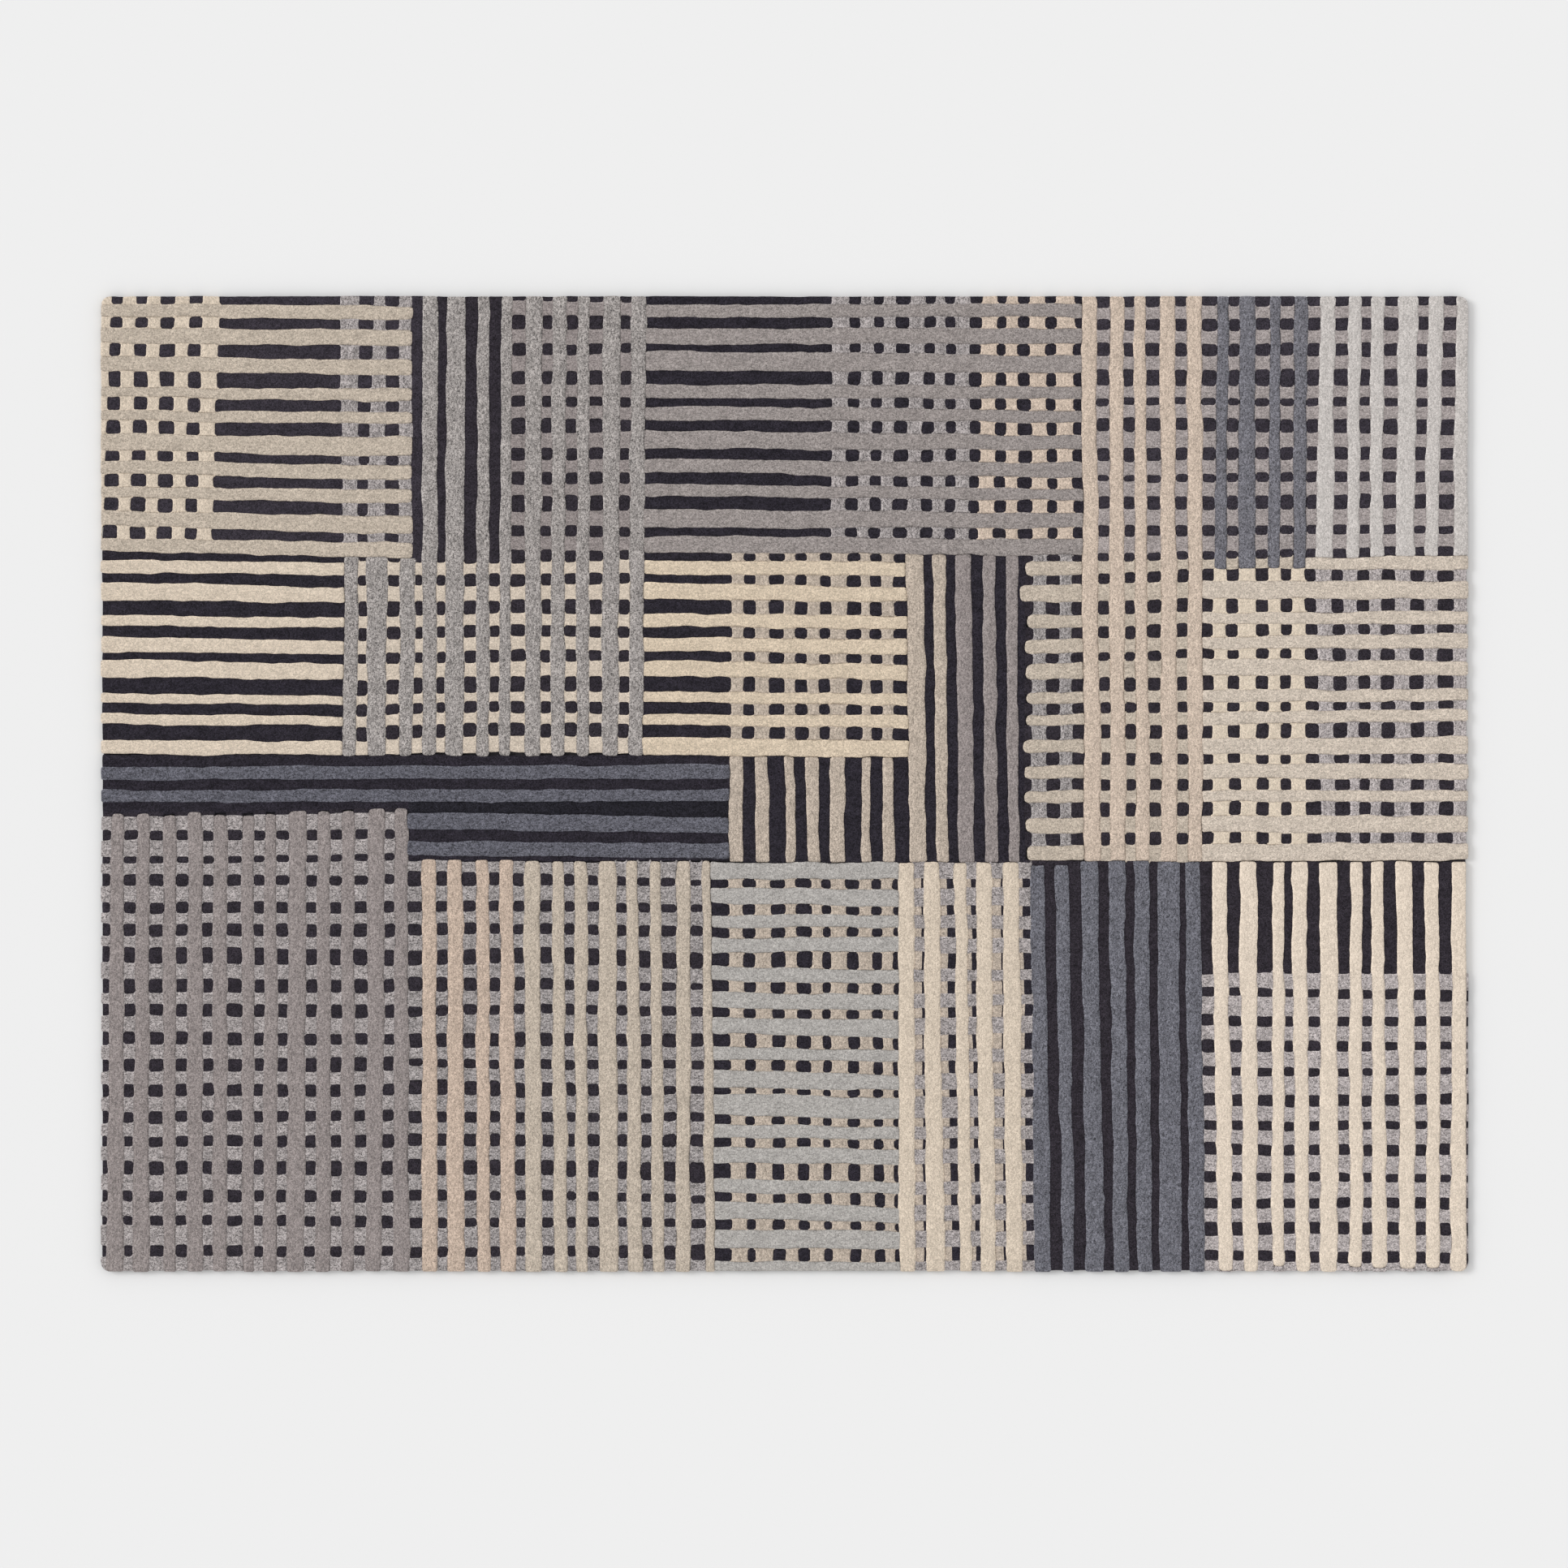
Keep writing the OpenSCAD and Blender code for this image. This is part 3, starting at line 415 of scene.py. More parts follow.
# How far apart the lines of vertices are, and those of ground away from the outline
LINE_STEP = 5.0
GROUND_STEP = 8.0
# How much of its wobble a side keeps on the outline
OUTLINE_CALM = 0.35
# Shares of a rounded edge, or of a corner, that get a line of vertices
EDGE_SHARES = (0.14, 0.45, 1)
BEND_SHARES = (0, 0.12, 0.45, 1)
# How much further than their shape says the sides of some ribbons reach
GROW = {
    "cream_columns_low": 1.7,
    "cream_columns_corner": 0.6,
    "slate_columns_low": 0.5,
    "silver_columns_top": 0.8,
    "mist_under_top": 0.8,
    "cream_under_top": 0.8,
    "beige_columns_lane": 0.3,
    "taupe_columns_lane": 0.3,
    "cream_rows_left": -0.7,
    "cream_rows_middle": -0.6,
    "slate_columns_top": -1.0,
    "taupe_rows_top": -0.5,
    "peach_columns_right": -0.3,
    "beige_rows_right": -0.2,
    "silver_rows_low": -0.4,
    "peach_columns_low": -0.4,
    "beige_columns_low": -0.4,
    "beige_columns_middle": -0.2,
}


def stations(length, radius, step, marks, fine):
    """Places along one side, closer together where the edge rounds over and at the marks."""
    radius = min(radius, length * 0.42)
    if fine:
        edge = [0.0] + [radius * share for share in EDGE_SHARES]
    else:
        edge = [0.0] if marks else [0.0, radius]
    inner = length - 2 * radius
    count = max(1, int(round(inner / step)))
    places = edge + [length - e for e in edge]
    for place in marks + [radius + inner * k / count for k in range(1, count)]:
        if min(abs(place - other) for other in places) > 0.3 and 0 < place < length:
            places.append(place)
    return np.array(sorted(places)), radius


def capped(run, across, length, width, caps):
    """Pulls a ribbon's ends back at their corners, so that each end is round in plan."""
    for first, radius in ((True, caps[0]), (False, caps[1])):
        if radius <= 0:
            continue
        radius = min(radius, width * 0.5)
        beyond = np.clip((np.abs(across - width / 2) - (width / 2 - radius)) / radius, 0, 1)
        back = radius * (1 - np.sqrt(1 - beyond * beyond))
        reach = 3.0 * radius
        distance = run if first else length - run
        shift = back * np.clip(1 - distance / reach, 0, 1)
        run = run + shift if first else run - shift
    return run


def at_outline(corners):
    """Whether a block's left, right, low and high sides are part of the rug's outline."""
    c0, c1, c2, c3 = corners
    return [
        min(c0[0], c3[0]) < OUTLINE_BAND - HALF_X,
        max(c1[0], c2[0]) > HALF_X - OUTLINE_BAND,
        min(c0[1], c1[1]) < OUTLINE_BAND - HALF_Y,
        max(c2[1], c3[1]) > HALF_Y - OUTLINE_BAND,
    ]


def between(corners, s, t):
    """The places s of the way across a block and t of the way up it."""
    c0, c1, c2, c3 = corners
    return [
        c0[k] * (1 - s) * (1 - t) + c1[k] * s * (1 - t) + c2[k] * s * t + c3[k] * (1 - s) * t
        for k in (0, 1)
    ]


def painted_rim_light_of(kind, us, vs, full_w, full_h, x, y):
    """How strongly each point of a patch gets the painted highlight or the painted shade of its edge."""
    if kind not in PAINTED_RIM_LIGHT:
        return np.zeros(x.size)
    sides = (us[:, None], full_w - us[:, None], vs[None, :], full_h - vs[None, :])
    gaps = np.stack(np.broadcast_arrays(*sides))
    nearest = np.argmin(gaps, axis=0)
    gap = gaps.min(axis=0)
    beside = level_at(
        x + np.array([-1, 1, 0, 0])[nearest] * (gap + LOOK_PAST),
        y + np.array([0, 0, -1, 1])[nearest] * (gap + LOOK_PAST),
    )
    return (PAINTED_RIM_LIGHT[kind][beside] * np.clip(1 - gap / PAINTED_RIM_WIDTH, 0, 1)).reshape(-1)


def skirt(top, ring, low):
    """Two rings that carry a patch's edge down to its foot, drawn in a little on the way."""
    edge = top[ring]
    outward = edge[:, :2] - top.mean(axis=0)[:2]
    outward = outward / np.maximum(np.linalg.norm(outward, axis=1)[:, None], 1e-6)
    middle, bottom = edge.copy(), edge.copy()
    middle[:, 2] = low + (edge[:, 2] - low) * 0.5
    middle[:, :2] -= outward * 0.25
    bottom[:, 2] = low
    bottom[:, :2] -= outward * 0.7
    return middle, bottom


class Builder:
    """Collects patches into one mesh."""

    def __init__(self):
        self.points = []
        self.quads = []
        self.caps = []
        self.painted_rims = []
        self.count = 0

    def patch(self, corners, low, high, kind, run, caps, key, open_corners, grow):
        """A closed patch of cut pile on four corners, shaped as SHAPES says. run is the axis that it
        runs on, caps are the plan radii of its first and last end, and key tells its edges apart.
        open_corners says at which of its corners a ribbon that crosses over it goes on past it, and
        grow how much wider than usual its two sides are."""
        shape = SHAPES[kind]
        radius, fillet = shape["radius"], shape["fillet"]
        c0, c1, c2, c3 = corners
        width = (np.linalg.norm(c1 - c0) + np.linalg.norm(c2 - c3)) / 2
        height = (np.linalg.norm(c3 - c0) + np.linalg.norm(c2 - c1)) / 2
        if width < LEAST_SIDE or height < LEAST_SIDE:
            return
        side = shape["side"] + grow
        squares = [kind == "over" and cap <= SQUARE_CAP for cap in caps]
        ends = [SQUARE_REACH if square else shape["end"] for square in squares]
        reach = [*ends, side, side] if run == 0 else [side, side, *ends]
        outline = at_outline(corners)
        reach = [min(r, 0.0) if out else r for r, out in zip(reach, outline)]
        full_w, full_h = width + reach[0] + reach[1], height + reach[2] + reach[3]
        # the corners of the gap beside each end of an under ribbon
        first, last = (0, 1) if run == 0 else (2, 3)
        arc = min(fillet, (width if run == 0 else height) * 0.45)
        arcs = (0 if outline[first] else arc, 0 if outline[last] else arc)
        whole = full_w if run == 0 else full_h
        marks = [reach[first] + arcs[0] * share for share in BEND_SHARES] if arcs[0] else []
        marks += [whole - reach[last] - arcs[1] * share for share in BEND_SHARES] if arcs[1] else []
        # what is tucked under another ribbon needs no fine edge
        plain = kind == "ground" and not any(outline)
        hidden = arcs[0] > 0 and arcs[1] > 0
        step = GROUND_STEP if plain else LINE_STEP
        fine_u, fine_v = (not (hidden and run == axis) and not plain for axis in (0, 1))
        us, ru = stations(full_w, radius, step, marks if run == 0 else [], fine_u)
        vs, rv = stations(full_h, radius, step, marks if run == 1 else [], fine_v)
        nu, nv = len(us), len(vs)
        # how far into the rounded edge each point lies, and how low it is there
        du = np.minimum(us, full_w - us)[:, None] * np.ones((1, nv))
        dv = np.minimum(vs, full_h - vs)[None, :] * np.ones((nu, 1))
        a = np.clip(1 - du / ru, 0, 1)
        b = np.clip(1 - dv / rv, 0, 1)
        m = np.hypot(a, b)
        pull = np.where(m > 1, 1 / np.maximum(m, 1e-6), 1.0)
        a, b = a * pull, b * pull
        m = np.minimum(m, 1)
        drop = shape["depth"] * (1 - np.sqrt(np.maximum(1 - m * m, 0)))
        # positions after the corners are rounded in plan
        near_u = np.where(us[:, None] < full_w / 2, ru * (1 - a), full_w - ru * (1 - a))
        near_v = np.where(vs[None, :] < full_h / 2, rv * (1 - b), full_h - rv * (1 - b))
        pu = np.where(a > 0, near_u, us[:, None])
        pv = np.where(b > 0, near_v, vs[None, :])
        along, across = (pu, pv) if run == 0 else (pv, pu)
        wide = full_h if run == 0 else full_w
        place = across / wide * 2 - 1
        # the free sides swing out to meet the ribbons that cross over this one
        swings = [0.0, 0.0]
        by_side = ((0, 1), (3, 2)) if run == 0 else ((0, 3), (1, 2))
        for k, (near, far) in enumerate(by_side):
            for corner, bend, distance in (
                (near, arcs[0], along - reach[first]),
                (far, arcs[1], whole - reach[last] - along),
            ):
                if bend > 0 and open_corners[corner]:
                    short = bend - np.clip(distance, 0, bend)
                    swings[k] = swings[k] + bend - np.sqrt(np.maximum(bend**2 - short**2, 0))
        # and each side wobbles in its own way, less so on the outline
        for k, (number, swing) in enumerate(zip((2, 3) if run == 0 else (0, 1), swings)):
            calm = OUTLINE_CALM if outline[number] else 1.0
            waves = [
                size * wave(key * 4 + 2 * k + pace, along, pitch)
                for pace, (size, pitch) in enumerate(zip(shape["wobble"], WOBBLE_PITCHES))
            ]
            out = calm * (waves[0] + waves[1]) + swing
            across = across + out * np.clip(place, 0, 1) if k else across - out * np.clip(-place, 0, 1)
        along = capped(along, across, whole, wide, caps)
        pu, pv = (along, across) if run == 0 else (across, along)
        flat_x, flat_y = between(corners, (pu - reach[0]) / width, (pv - reach[2]) / height)
        inward = np.minimum(np.minimum(du, dv) / (min(full_w, full_h) / 2), 1)
        x, y = warp(flat_x, flat_y)
        z = high - drop + shape["crown"] * inward * (2 - inward) + 0.35 * swell(x, y)
        z = z + 0.30 * tufts(x, y) * (0.4 + 0.6 * (1 - m))
        top = np.stack([x, y, z], axis=-1).reshape(-1, 3)
        ring = border(nu, nv)
        middle, bottom = skirt(top, ring, low)
        # painted highlight and painted shade near the patch's edges, which the shader reads as the rim
        # attribute
        rim = painted_rim_light_of(kind, us, vs, full_w, full_h, flat_x, flat_y)
        self.painted_rims += [rim, rim[ring] * 0.5, rim[ring] * 0]
        self.points += [top, middle, bottom]
        here = nu * nv + np.arange(len(ring))
        below = here + len(ring)
        self.quads.append(grid_quads(nu, nv) + self.count)
        self.quads.append(band(here, ring) + self.count)
        self.quads.append(band(below, here) + self.count)
        self.caps.append(below[::-1] + self.count)
        self.count += nu * nv + 2 * len(ring)

    def mesh(self, name):
        points = np.concatenate(self.points) * MM
        quads = np.concatenate(self.quads)
        caps = np.concatenate(self.caps)
        sizes = np.array([len(c) for c in self.caps])
        loops = np.concatenate([quads.reshape(-1), caps])
        starts = np.concatenate([np.arange(len(quads)) * 4, len(quads) * 4 + np.cumsum(sizes) - sizes])
        totals = np.concatenate([np.full(len(quads), 4), sizes])
        mesh = bpy.data.meshes.new(name)
        mesh.vertices.add(len(points))
        mesh.vertices.foreach_set("co", points.astype(np.float32).reshape(-1))
        mesh.loops.add(len(loops))
        mesh.loops.foreach_set("vertex_index", loops.astype(np.int32))
        mesh.polygons.add(len(starts))
        mesh.polygons.foreach_set("loop_start", starts.astype(np.int32))
        mesh.polygons.foreach_set("loop_total", totals.astype(np.int32))
        smooth = np.concatenate([np.ones(len(quads), bool), np.zeros(len(sizes), bool)])
        mesh.polygons.foreach_set("use_smooth", smooth)
        mesh.update(calc_edges=True)
        # the rim attribute holds painted light: a painted highlight along free edges, painted shade along
        # seams
        rim = mesh.attributes.new("rim", "FLOAT", "POINT")
        rim.data.foreach_set("value", np.concatenate(self.painted_rims).astype(np.float32))
        mesh.validate()
        return mesh


_quads = {}
_borders = {}


def band(lower, upper):
    """The quads between two rings of as many points."""
    return np.stack([lower, np.roll(lower, -1), np.roll(upper, -1), upper], axis=1)


def grid_quads(nu, nv):
    """The quads of a grid of nu by nv points."""
    if (nu, nv) not in _quads:
        i, j = np.meshgrid(np.arange(nu - 1), np.arange(nv - 1), indexing="ij")
        a = (i * nv + j).reshape(-1)
        _quads[nu, nv] = np.stack([a, a + nv, a + nv + 1, a + 1], axis=1)
    return _quads[nu, nv]


def border(nu, nv):
    """Indices round the grid's edge, anticlockwise from above."""
    if (nu, nv) not in _borders:
        low = [i * nv for i in range(nu)]
        right = [(nu - 1) * nv + j for j in range(1, nv)]
        high = [i * nv + nv - 1 for i in range(nu - 2, -1, -1)]
        left = [j for j in range(nv - 2, 0, -1)]
        _borders[nu, nv] = np.array(low + right + high + left)
    return _borders[nu, nv]


# ---------------------------------------------------------------------------------------------
# Materials
# ---------------------------------------------------------------------------------------------
class Nodes:
    """A short way to write a material's nodes."""

    def __init__(self, name):
        self.material = bpy.data.materials.new(name)
        self.material.use_nodes = True
        self.tree = self.material.node_tree
        self.tree.nodes.clear()

    def add(self, kind, **values):
        node = self.tree.nodes.new(kind)
        for key, value in values.items():
            setattr(node, key, value)
        return node

    def join(self, source, output, target, socket):
        self.tree.links.new(source.outputs[output], target.inputs[socket])

    def math(self, operation, a, b):
        """One sum of two values, each a number or a (node, output) pair."""
        node = self.add("ShaderNodeMath", operation=operation)
        for k, value in enumerate((a, b)):
            if isinstance(value, tuple):
                self.join(value[0], value[1], node, k)
            else:
                node.inputs[k].default_value = value
        return node, 0

    def scaled(self, place, scale):
        """Object coordinates stretched by scale."""
        node = self.add("ShaderNodeMapping")
        node.inputs["Scale"].default_value = scale
        self.join(place, "Object", node, "Vector")
        return node

    def noise(self, vector, scale, detail, rough):
        node = self.add("ShaderNodeTexNoise", noise_dimensions="2D")
        node.inputs["Scale"].default_value = scale
        node.inputs["Detail"].default_value = detail
        node.inputs["Roughness"].default_value = rough
        self.tree.links.new(vector, node.inputs["Vector"])
        return node

    def ramp(self, source, stops):
        node = self.add("ShaderNodeValToRGB")
        while len(node.color_ramp.elements) > 1:
            node.color_ramp.elements.remove(node.color_ramp.elements[-1])
        for k, (at, value) in enumerate(stops):
            e = node.color_ramp.elements[0] if k == 0 else node.color_ramp.elements.new(at)
            e.position = at
            e.color = value if isinstance(value, tuple) else (value, value, value, 1)
        self.join(source[0], source[1], node, "Fac")
        return node

    def mix(self, kind, factor, a, b):
        node = self.add("ShaderNodeMix", data_type="RGBA", blend_type=kind)
        for socket, value in ((0, factor), (6, a), (7, b)):
            if isinstance(value, tuple) and len(value) == 2:
                self.join(value[0], value[1], node, socket)
            else:
                node.inputs[socket].default_value = value
        return node, 2

    def finish(self, colour, height, strength, distance, values):
        """A surface with this colour and relief. values are its shader's other settings."""
        bump = self.add("ShaderNodeBump")
        bump.inputs["Strength"].default_value = strength
        bump.inputs["Distance"].default_value = distance
        self.join(*height, bump, "Height")
        shader = self.add("ShaderNodeBsdfPrincipled")
        for socket, value in values.items():
            shader.inputs[socket].default_value = value
        self.join(*colour, shader, "Base Color")
        self.join(bump, "Normal", shader, "Normal")
        self.join(shader, "BSDF", self.add("ShaderNodeOutputMaterial"), "Surface")
        return self.material


def tone(colour, factor):
    """A colour made lighter or darker."""
    return tuple(min(1.0, c * max(0.12, factor)) for c in colour[:3]) + (1.0,)


def wool(name, code, contrast, run):
    """Cut pile of heathered wool yarn: tufts, flecks of lighter and darker fibre, a soft nap.
    run is the axis that the rows of tufts follow."""
    n = Nodes(name)
    place = n.add("ShaderNodeTexCoord")
    at = place.outputs["Object"]
    base = linear(code)
    # Each tuft has a tone of its own. The pattern is flat, so that it runs down the pile's sides.
    cells = n.add("ShaderNodeTexVoronoi", feature="F1", distance="EUCLIDEAN", voronoi_dimensions="2D")
    cells.inputs["Scale"].default_value = 470
    cells.inputs["Randomness"].default_value = 1.0
    n.tree.links.new(at, cells.inputs["Vector"])
    split = n.add("ShaderNodeSeparateColor")
    n.join(cells, "Color", split, "Color")
    tuft_tone = (split, 0)
    # flecks of fibre, and streaks along the rows of tufts
    fine = n.noise(at, 620, 2.0, 0.6)
    stretch = (0.45, 1.0, 1.0) if run == 0 else (1.0, 0.45, 1.0)
    streak = n.noise(n.scaled(place, stretch).outputs["Vector"], 330, 2.0, 0.6)
    streak.inputs["Distortion"].default_value = 0.6
    blotch = n.noise(n.scaled(place, stretch).outputs["Vector"], 70, 2.0, 0.5)
    amount = n.math("MULTIPLY", tuft_tone, 0.38)
    amount = n.math("ADD", amount, n.math("MULTIPLY", (streak, "Fac"), 0.36))
    amount = n.math("ADD", amount, n.math("MULTIPLY", (fine, "Fac"), 0.26))
    body = n.ramp(
        amount,
        [
            (0.24, tone(base, 1 - 0.95 * contrast)),
            (0.41, tone(base, 1 - 0.25 * contrast)),
            (0.53, tone(base, 1 + 0.08 * contrast)),
            (0.74, tone(base, 1 + 0.95 * contrast)),
        ],
    )
    # a share of the fibres is much darker than the rest, or lighter in a dark yarn
    odd = tone(base, 1 - 1.35 * contrast) if base[1] > 0.06 else tone(base, 1 + 1.9 * contrast)
    share = n.math("ADD", n.math("MULTIPLY", (fine, "Fac"), 0.6), n.math("MULTIPLY", (streak, "Fac"), 0.4))
    fleck = n.ramp(share, [(0.36, 0.0), (0.46, 1.0)])
    flecked = n.mix("MIX", (fleck, "Color"), odd, (body, "Color"))
    drifted = n.ramp((blotch, "Fac"), [(0.3, 1 - 0.20 * contrast), (0.7, 1 + 0.18 * contrast)])
    drift = n.mix("MULTIPLY", 1.0, flecked, (drifted, "Color"))
    # painted light: a painted highlight along a ribbon's edge, where splayed fibre tips would catch more
    # light, and painted shade along a seam
    rim = n.add("ShaderNodeAttribute", attribute_name="rim", attribute_type="GEOMETRY")
    painted_highlight = n.math("MULTIPLY", n.math("MAXIMUM", (rim, "Fac"), 0.0), PAINTED_EDGE_HIGHLIGHT)
    painted_seam_shading = n.math("MULTIPLY", n.math("MINIMUM", (rim, "Fac"), 0.0), PAINTED_SEAM_SHADE)
    level = n.math("ADD", n.math("ADD", painted_highlight, painted_seam_shading), 1.0)
    colour = n.mix("MULTIPLY", 1.0, drift, level)
    # relief: rounded tuft tips and fibres
    relief = n.math("SUBTRACT", n.math("MULTIPLY", (fine, "Fac"), 0.8), (cells, "Distance"))
    relief = n.math("ADD", relief, n.math("MULTIPLY", (streak, "Fac"), 0.6))
    return n.finish(
        colour,
        relief,
        0.55,
        0.0011,
        {
            "Roughness": 0.95,
            "Specular IOR Level": 0.12,
            "Sheen Weight": 0.10,
            "Sheen Roughness": 0.55,
            "Sheen Tint": tone(base, 1.25),
        },
    )


def woven(name, code, threads, contrast):
    """Plain weave: over and under threads along X and Y, threads per metre."""
    n = Nodes(name)
    place = n.add("ShaderNodeTexCoord")
    parts = n.add("ShaderNodeSeparateXYZ")
    n.join(place, "Object", parts, "Vector")
    base = linear(code)
    waves = []
    for axis in (0, 1):
        turned = n.math("MULTIPLY", (parts, axis), math.pi * threads)
        waves.append(n.math("SINE", turned, 0.0))
    over = n.math("MULTIPLY", waves[0], waves[1])
    ridges = n.math("ABSOLUTE", over, 0.0)
    check = n.math("ADD", n.math("MULTIPLY", over, 0.5), 0.5)
    at = place.outputs["Object"]
    slub = n.noise(at, 60, 3.0, 0.6)
    fibre = n.noise(at, 900, 2.0, 0.6)
    value = n.math("ADD", n.math("MULTIPLY", ridges, 0.5), n.math("MULTIPLY", (fibre, "Fac"), 0.5))
    body = n.ramp(
        value,
        [(0.15, tone(base, 1 - contrast)), (0.55, base), (0.85, tone(base, 1 + 0.5 * contrast))],
    )
    slubbed = n.ramp((slub, "Fac"), [(0.3, 0.90), (0.7, 1.06)])
    colour = n.mix("MULTIPLY", 1.0, (body, "Color"), (slubbed, "Color"))
    height = n.math("ADD", n.math("MULTIPLY", ridges, 0.7), n.math("MULTIPLY", check, 0.3))
    height = n.math("ADD", height, n.math("MULTIPLY", (fibre, "Fac"), 0.25))
    return n.finish(
        colour, height, 0.7, 0.0005, {"Roughness": 0.9, "Specular IOR Level": 0.2, "Sheen Weight": 0.08}
    )


def brushed_latex(name, code):
    """Latex brushed on thickly, with pits and strokes."""
    n = Nodes(name)
    place = n.add("ShaderNodeTexCoord")
    base = linear(code)
    stroke = n.noise(n.scaled(place, (18, 120, 60)).outputs["Vector"], 1.0, 4.0, 0.6)
    pits = n.noise(place.outputs["Object"], 420, 2.0, 0.5)
    body = n.ramp((stroke, "Fac"), [(0.3, tone(base, 0.86)), (0.7, tone(base, 1.04))])
    height = n.math("ADD", (stroke, "Fac"), n.math("MULTIPLY", (pits, "Fac"), 0.4))
    return n.finish((body, "Color"), height, 0.5, 0.0006, {"Roughness": 0.6})


# ---------------------------------------------------------------------------------------------
# Pile
# ---------------------------------------------------------------------------------------------
yarns = {}


def yarn_for(name, run):
    """The wool of a yarn whose tufts follow one axis."""
    if (name, run) not in yarns:
        yarns[name, run] = wool("wool_%s_%s" % (name, "xy"[run]), *YARNS[name], run)
    return yarns[name, run]


def place_piece(mesh, name, material, nodes):
    """Puts a piece in the scene in place of its CAD nodes."""
    piece = bpy.data.objects.new(name, mesh)
    bpy.context.scene.collection.objects.link(piece)
    mesh.materials.append(material)
    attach(piece, "root")
    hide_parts(*nodes)
    return piece


BLOCKS = {node: blocks_of(node) for node in sorted(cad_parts) if kind_of(node)}
LEVELS = level_map()


def open_corners_of(corners, run):
    """For each corner of an under ribbon, whether the ribbon that crosses it there goes on past it."""
    turns = np.array([(-1, -1), (1, -1), (1, 1), (-1, 1)])
    out = corners + turns * ((4.0, 7.0) if run == 0 else (7.0, 4.0))
    return level_at(out[:, 0], out[:, 1]) == TOP


# No node has more blocks than this
MOST_BLOCKS = 3000
for index, node in enumerate(sorted(BLOCKS)):
    kind = kind_of(node)
    run = 0 if "_rows" in node or node in ROWS_UNDER or kind == "ground" else 1
    ends, grow = ENDS.get(node, (0, 0)), GROW.get(node, 0.0)
    builder = Builder()
    for number, (corners, low, high) in enumerate(BLOCKS[node]):
        opened = open_corners_of(corners, run) if kind == "under" else (1, 1, 1, 1)
        key = MOST_BLOCKS * (index + 1) + number
        builder.patch(corners, low, high, kind, run, ends, key, opened, grow)
    yarn = PILE.get(node, "charcoal")
    place_piece(builder.mesh("pile_" + node), "pile_" + node, yarn_for(yarn, run), [node])

# ---------------------------------------------------------------------------------------------
# Backing
# ---------------------------------------------------------------------------------------------
CLOTH_CORNER = 16.0
TAPE_CORNER_SHARE = 0.35


def smooth_mesh(name, points, faces):
    """A smooth mesh from points in metres."""
    mesh = bpy.data.meshes.new(name)
    mesh.from_pydata(points, [], faces)
    for face in mesh.polygons:
        face.use_smooth = True
    mesh.validate()
    return mesh


def slab_lines(half, radius, step):
    """Where a slab's grid has its lines, from 0 to 1, with two more in each rounded corner."""
    count = max(2, int(round(2 * half / step)))
    lines = np.concatenate([np.linspace(0, 1, count + 1), np.array([0.2, 0.5]) * radius / (2 * half)])
    lines = np.unique(lines)
    return np.unique(np.round(np.concatenate([lines, 1 - lines]), 6))


def slab(name, lows, highs, radius, bevel, step, dip):
    """A thin closed sheet between two corners in metres, with round corners and soft edges.
    dip(x, y) lowers its top. Its other lengths are in millimetres."""
    half_x = (highs[0] - lows[0]) * 500
    half_y = (highs[1] - lows[1]) * 500
    mid_x = (highs[0] + lows[0]) * 500
    mid_y = (highs[1] + lows[1]) * 500
    low, high = lows[2] * 1000, highs[2] * 1000
    us, vs = slab_lines(half_x, radius, step), slab_lines(half_y, radius, step)
    x = (us[:, None] * 2 - 1) * half_x + 0 * vs[None, :]
    y = (vs[None, :] * 2 - 1) * half_y + 0 * us[:, None]
    x, y = rounded(x, y, half_x, half_y, radius)
    x, y = x + mid_x, y + mid_y
    top = np.stack([x, y, high - dip(x, y)], axis=-1).reshape(-1, 3)
    bottom = np.stack([x, y, np.full_like(x, low)], axis=-1).reshape(-1, 3)
    nu, nv = len(us), len(vs)
    ring = border(nu, nv)
    rim = (top[ring] + bottom[ring]) / 2
    shrink = 1 - bevel / max(half_x, half_y)
    for grid in (top, bottom):
        grid[ring, 0] = (grid[ring, 0] - mid_x) * shrink + mid_x
        grid[ring, 1] = (grid[ring, 1] - mid_y) * shrink + mid_y
    size = nu * nv
    here = size + np.arange(len(ring))
    lower = size + len(ring) + ring
    quads = [
        grid_quads(nu, nv),
        band(here, ring),
        band(lower, here),
        grid_quads(nu, nv)[:, ::-1] + size + len(ring),
    ]
    points = np.concatenate([top, rim, bottom]) * MM
    return smooth_mesh(name, points.tolist(), np.concatenate(quads).tolist())


def flat_top(x, y):
    return 0 * x


def brushed(x, y):
    return 0.12 * (swell(x, y) + 1)


def turned(x, y, angle):
    """A place turned about the rug's centre, anticlockwise, in degrees."""
    turn = math.radians(angle)
    return x * math.cos(turn) - y * math.sin(turn), x * math.sin(turn) + y * math.cos(turn)


jute = woven("jute_backing", "B9A98B", 260, 0.30)
# The tufting cloth is a real sheet, but its dark grey is painted shade that makes the slits between
# patches of pile look dark
primary_painted_shade = woven("tufting_cloth_weave_painted_shade", "4A474C", 330, 0.30)
tape_cloth = woven("edge_tape_weave", "CDC2AE", 520, 0.22)
latex_skin = brushed_latex("latex_skin", "E4DDCB")
thread = woven("tape_thread", "9C8F78", 1500, 0.15)

lows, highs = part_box("tufting_cloth")
cloth = place_piece(
    slab("tufting_cloth_sheet", lows, highs, CLOTH_CORNER, 0.4, 60, flat_top),
    "tufting_cloth_sheet",
    primary_painted_shade,
    ["tufting_cloth"],
)

lows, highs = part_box("latex_coat")
place_piece(
    slab("latex_skin", lows, highs, CLOTH_CORNER, 0.5, 60, brushed),
    "latex_skin",
    latex_skin,
    ["latex_coat"],
)


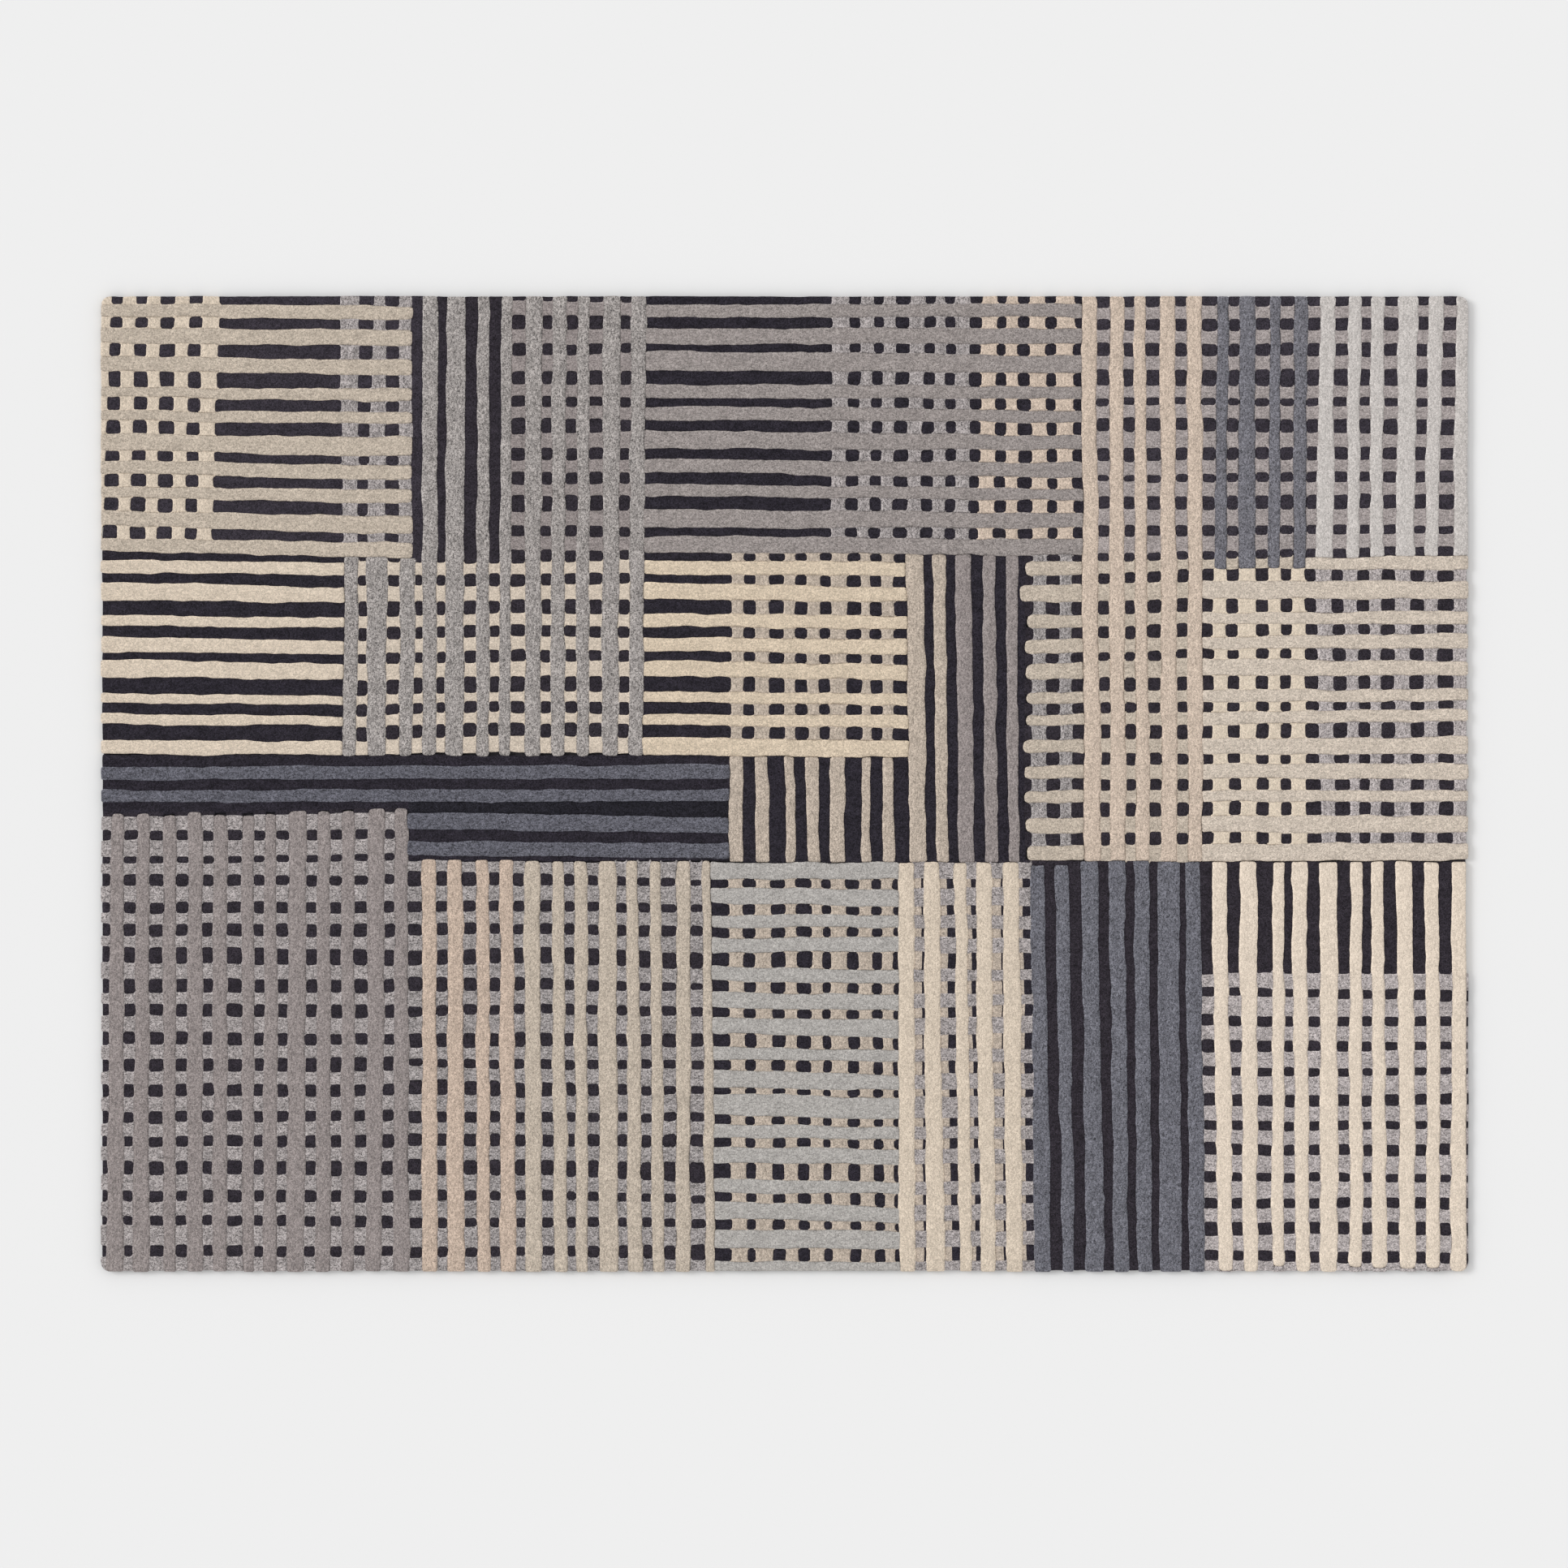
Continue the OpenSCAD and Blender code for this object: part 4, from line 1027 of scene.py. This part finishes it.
def tape_mesh(name, width_mm, half_mm, cut_mm, offset_mm, angle):
    """A mitred strip of tape under one side: its long edge outside, its ends at 45 degrees."""
    stretch = np.linspace(-1, 1, int(half_mm / 9))
    shares = np.array([0.0, 0.03, 0.1, 0.25, 0.5, 0.75, 0.9, 0.97, 1.0])
    reach = half_mm - np.maximum(shares * width_mm, cut_mm)
    x = stretch[:, None] * reach[None, :]
    y = offset_mm - shares[None, :] * width_mm + 0 * x
    soft = np.minimum(shares, 1 - shares)[None, :] + 0 * x
    edge = np.clip(1 - soft / 0.1, 0, 1) ** 2
    ripple = 0.05 * np.sin(x / 9) * np.sin(y / 5)
    heights = (1.2 - 0.25 * edge, 0.3 + 0.25 * edge + ripple)
    top, bottom = (np.stack([*turned(x, y, angle), z], axis=-1).reshape(-1, 3) for z in heights)
    nx, ny = x.shape
    ring = border(nx, ny)
    quads = [
        grid_quads(nx, ny),
        grid_quads(nx, ny)[:, ::-1] + nx * ny,
        band(ring + nx * ny, ring),
    ]
    # y falls as the shares rise, so every face is turned over
    faces = np.concatenate(quads)[:, ::-1]
    return smooth_mesh(name, (np.concatenate([top, bottom]) * MM).tolist(), faces.tolist())


def stitch_mesh(name, lines, offset_mm, angle):
    """Short running stitches under one side's tape, in rows. lines holds (inset, half length) in mm."""
    rings = ((-2.2, 0.12), (-1.4, 0.42), (0.0, 0.5), (1.4, 0.42), (2.2, 0.12))
    spokes = 6
    pitch = 7.5
    points, faces = [], []
    for inset, half in lines:
        count = int(2 * half / pitch)
        for k in range(count):
            middle = -half + (k + 0.5) * 2 * half / count
            y = offset_mm - inset + 0.25 * math.sin(middle * 0.13)
            base = len(points)
            for along, radius in rings:
                for spoke in range(spokes):
                    a = 2 * math.pi * spoke / spokes
                    px, py = turned(middle + along, y + radius * math.cos(a), angle)
                    pz = 0.36 + 0.7 * radius * math.sin(a)
                    points.append((px * MM, py * MM, pz * MM))
            for r in range(len(rings) - 1):
                for spoke in range(spokes):
                    a = base + r * spokes + spoke
                    b = base + r * spokes + (spoke + 1) % spokes
                    faces.append((a, b, b + spokes, a + spokes))
            last = base + (len(rings) - 1) * spokes
            faces.append(tuple(base + spoke for spoke in reversed(range(spokes))))
            faces.append(tuple(last + spoke for spoke in range(spokes)))
    return smooth_mesh(name, points, faces)


# How far the rows of stitches lie from the tape's long sides
STITCH_INSET = 3.0
for side, angle in (("top", 0), ("bottom", 180), ("left", 90), ("right", -90)):
    node = "tape_" + side
    lows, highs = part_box(node)
    size = highs - lows
    level = side in ("top", "bottom")
    width = (size[1] if level else size[0]) * 1000
    reach = max(abs(lows[1]), abs(highs[1])) if level else max(abs(lows[0]), abs(highs[0]))
    cut = CLOTH_CORNER * TAPE_CORNER_SHARE
    half = (size[0] if level else size[1]) * 500 + cut
    strip = place_piece(
        tape_mesh("edge_" + node, width, half, cut, reach * 1000, angle),
        "edge_" + node,
        tape_cloth,
        [node],
    )
    lines = [(STITCH_INSET, half - 8), (width - STITCH_INSET, half - width - 4)]
    seam = stitch_mesh("stitches_" + side, lines, reach * 1000, angle)
    stitches = bpy.data.objects.new("stitches_" + side, seam)
    bpy.context.scene.collection.objects.link(stitches)
    stitches.data.materials.append(thread)
    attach(stitches, "root")

lows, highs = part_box("backing_cloth")
backing = place_piece(
    slab("backing_cloth_sheet", lows, highs, 2.0, 0.3, 30, flat_top),
    "backing_cloth_sheet",
    jute,
    ["backing_cloth"],
)

# ---------------------------------------------------------------------------------------------
# Stage, light and camera
# ---------------------------------------------------------------------------------------------
FLOOR_HALF = 60
FLOOR_GREY = 0.785
SKY_GREY = 0.855
floor_mesh = bpy.data.meshes.new("floor")
floor_corners = [(-FLOOR_HALF, -FLOOR_HALF, 0), (FLOOR_HALF, -FLOOR_HALF, 0)]
floor_corners += [(FLOOR_HALF, FLOOR_HALF, 0), (-FLOOR_HALF, FLOOR_HALF, 0)]
floor_mesh.from_pydata(floor_corners, [], [(0, 1, 2, 3)])
floor = bpy.data.objects.new("floor", floor_mesh)
bpy.context.scene.collection.objects.link(floor)
# a hair below the backing, so that the two don't flicker
floor.location.z = -0.0003
ground_paint = Nodes("floor_paint")
paint = ground_paint.add("ShaderNodeBsdfDiffuse")
paint.inputs["Color"].default_value = (FLOOR_GREY, FLOOR_GREY, FLOOR_GREY, 1)
ground_paint.join(paint, "BSDF", ground_paint.add("ShaderNodeOutputMaterial"), "Surface")
floor_mesh.materials.append(ground_paint.material)

scene = bpy.context.scene
world = bpy.data.worlds.new("studio")
scene.world = world
world.use_nodes = True
sky = world.node_tree.nodes["Background"]
sky.inputs["Color"].default_value = (SKY_GREY, SKY_GREY, SKY_GREY, 1)
sky.inputs["Strength"].default_value = 1.0


def sun(name, strength, size, azimuth, elevation):
    """A soft directional light. azimuth is where it stands, anticlockwise from +X, in degrees."""
    data = bpy.data.lights.new(name, "SUN")
    data.energy = strength
    data.angle = math.radians(size)
    lamp = bpy.data.objects.new(name, data)
    scene.collection.objects.link(lamp)
    lamp.rotation_euler = (math.radians(90 - elevation), 0, math.radians(azimuth + 90))


sun("key", 1.15, 24, 160, 42)

camera_data = bpy.data.cameras.new("camera")
camera = bpy.data.objects.new("camera", camera_data)
scene.collection.objects.link(camera)
scene.camera = camera
# How high the camera stands over the top of the pile, how wide it sees there, and how far it
# stands to the side, in metres
HEIGHT = 14.0
PILE_TOP = 0.012
VIEW_WIDTH = 2.7526
SIDEWAYS = -0.00107
camera_data.sensor_width = 36
camera_data.lens = camera_data.sensor_width * HEIGHT / VIEW_WIDTH
camera_data.clip_end = 200
camera.location = (SIDEWAYS, 0, HEIGHT + PILE_TOP)
camera.rotation_euler = (0, 0, 0)

scene.view_settings.view_transform = "Standard"
scene.view_settings.look = "None"
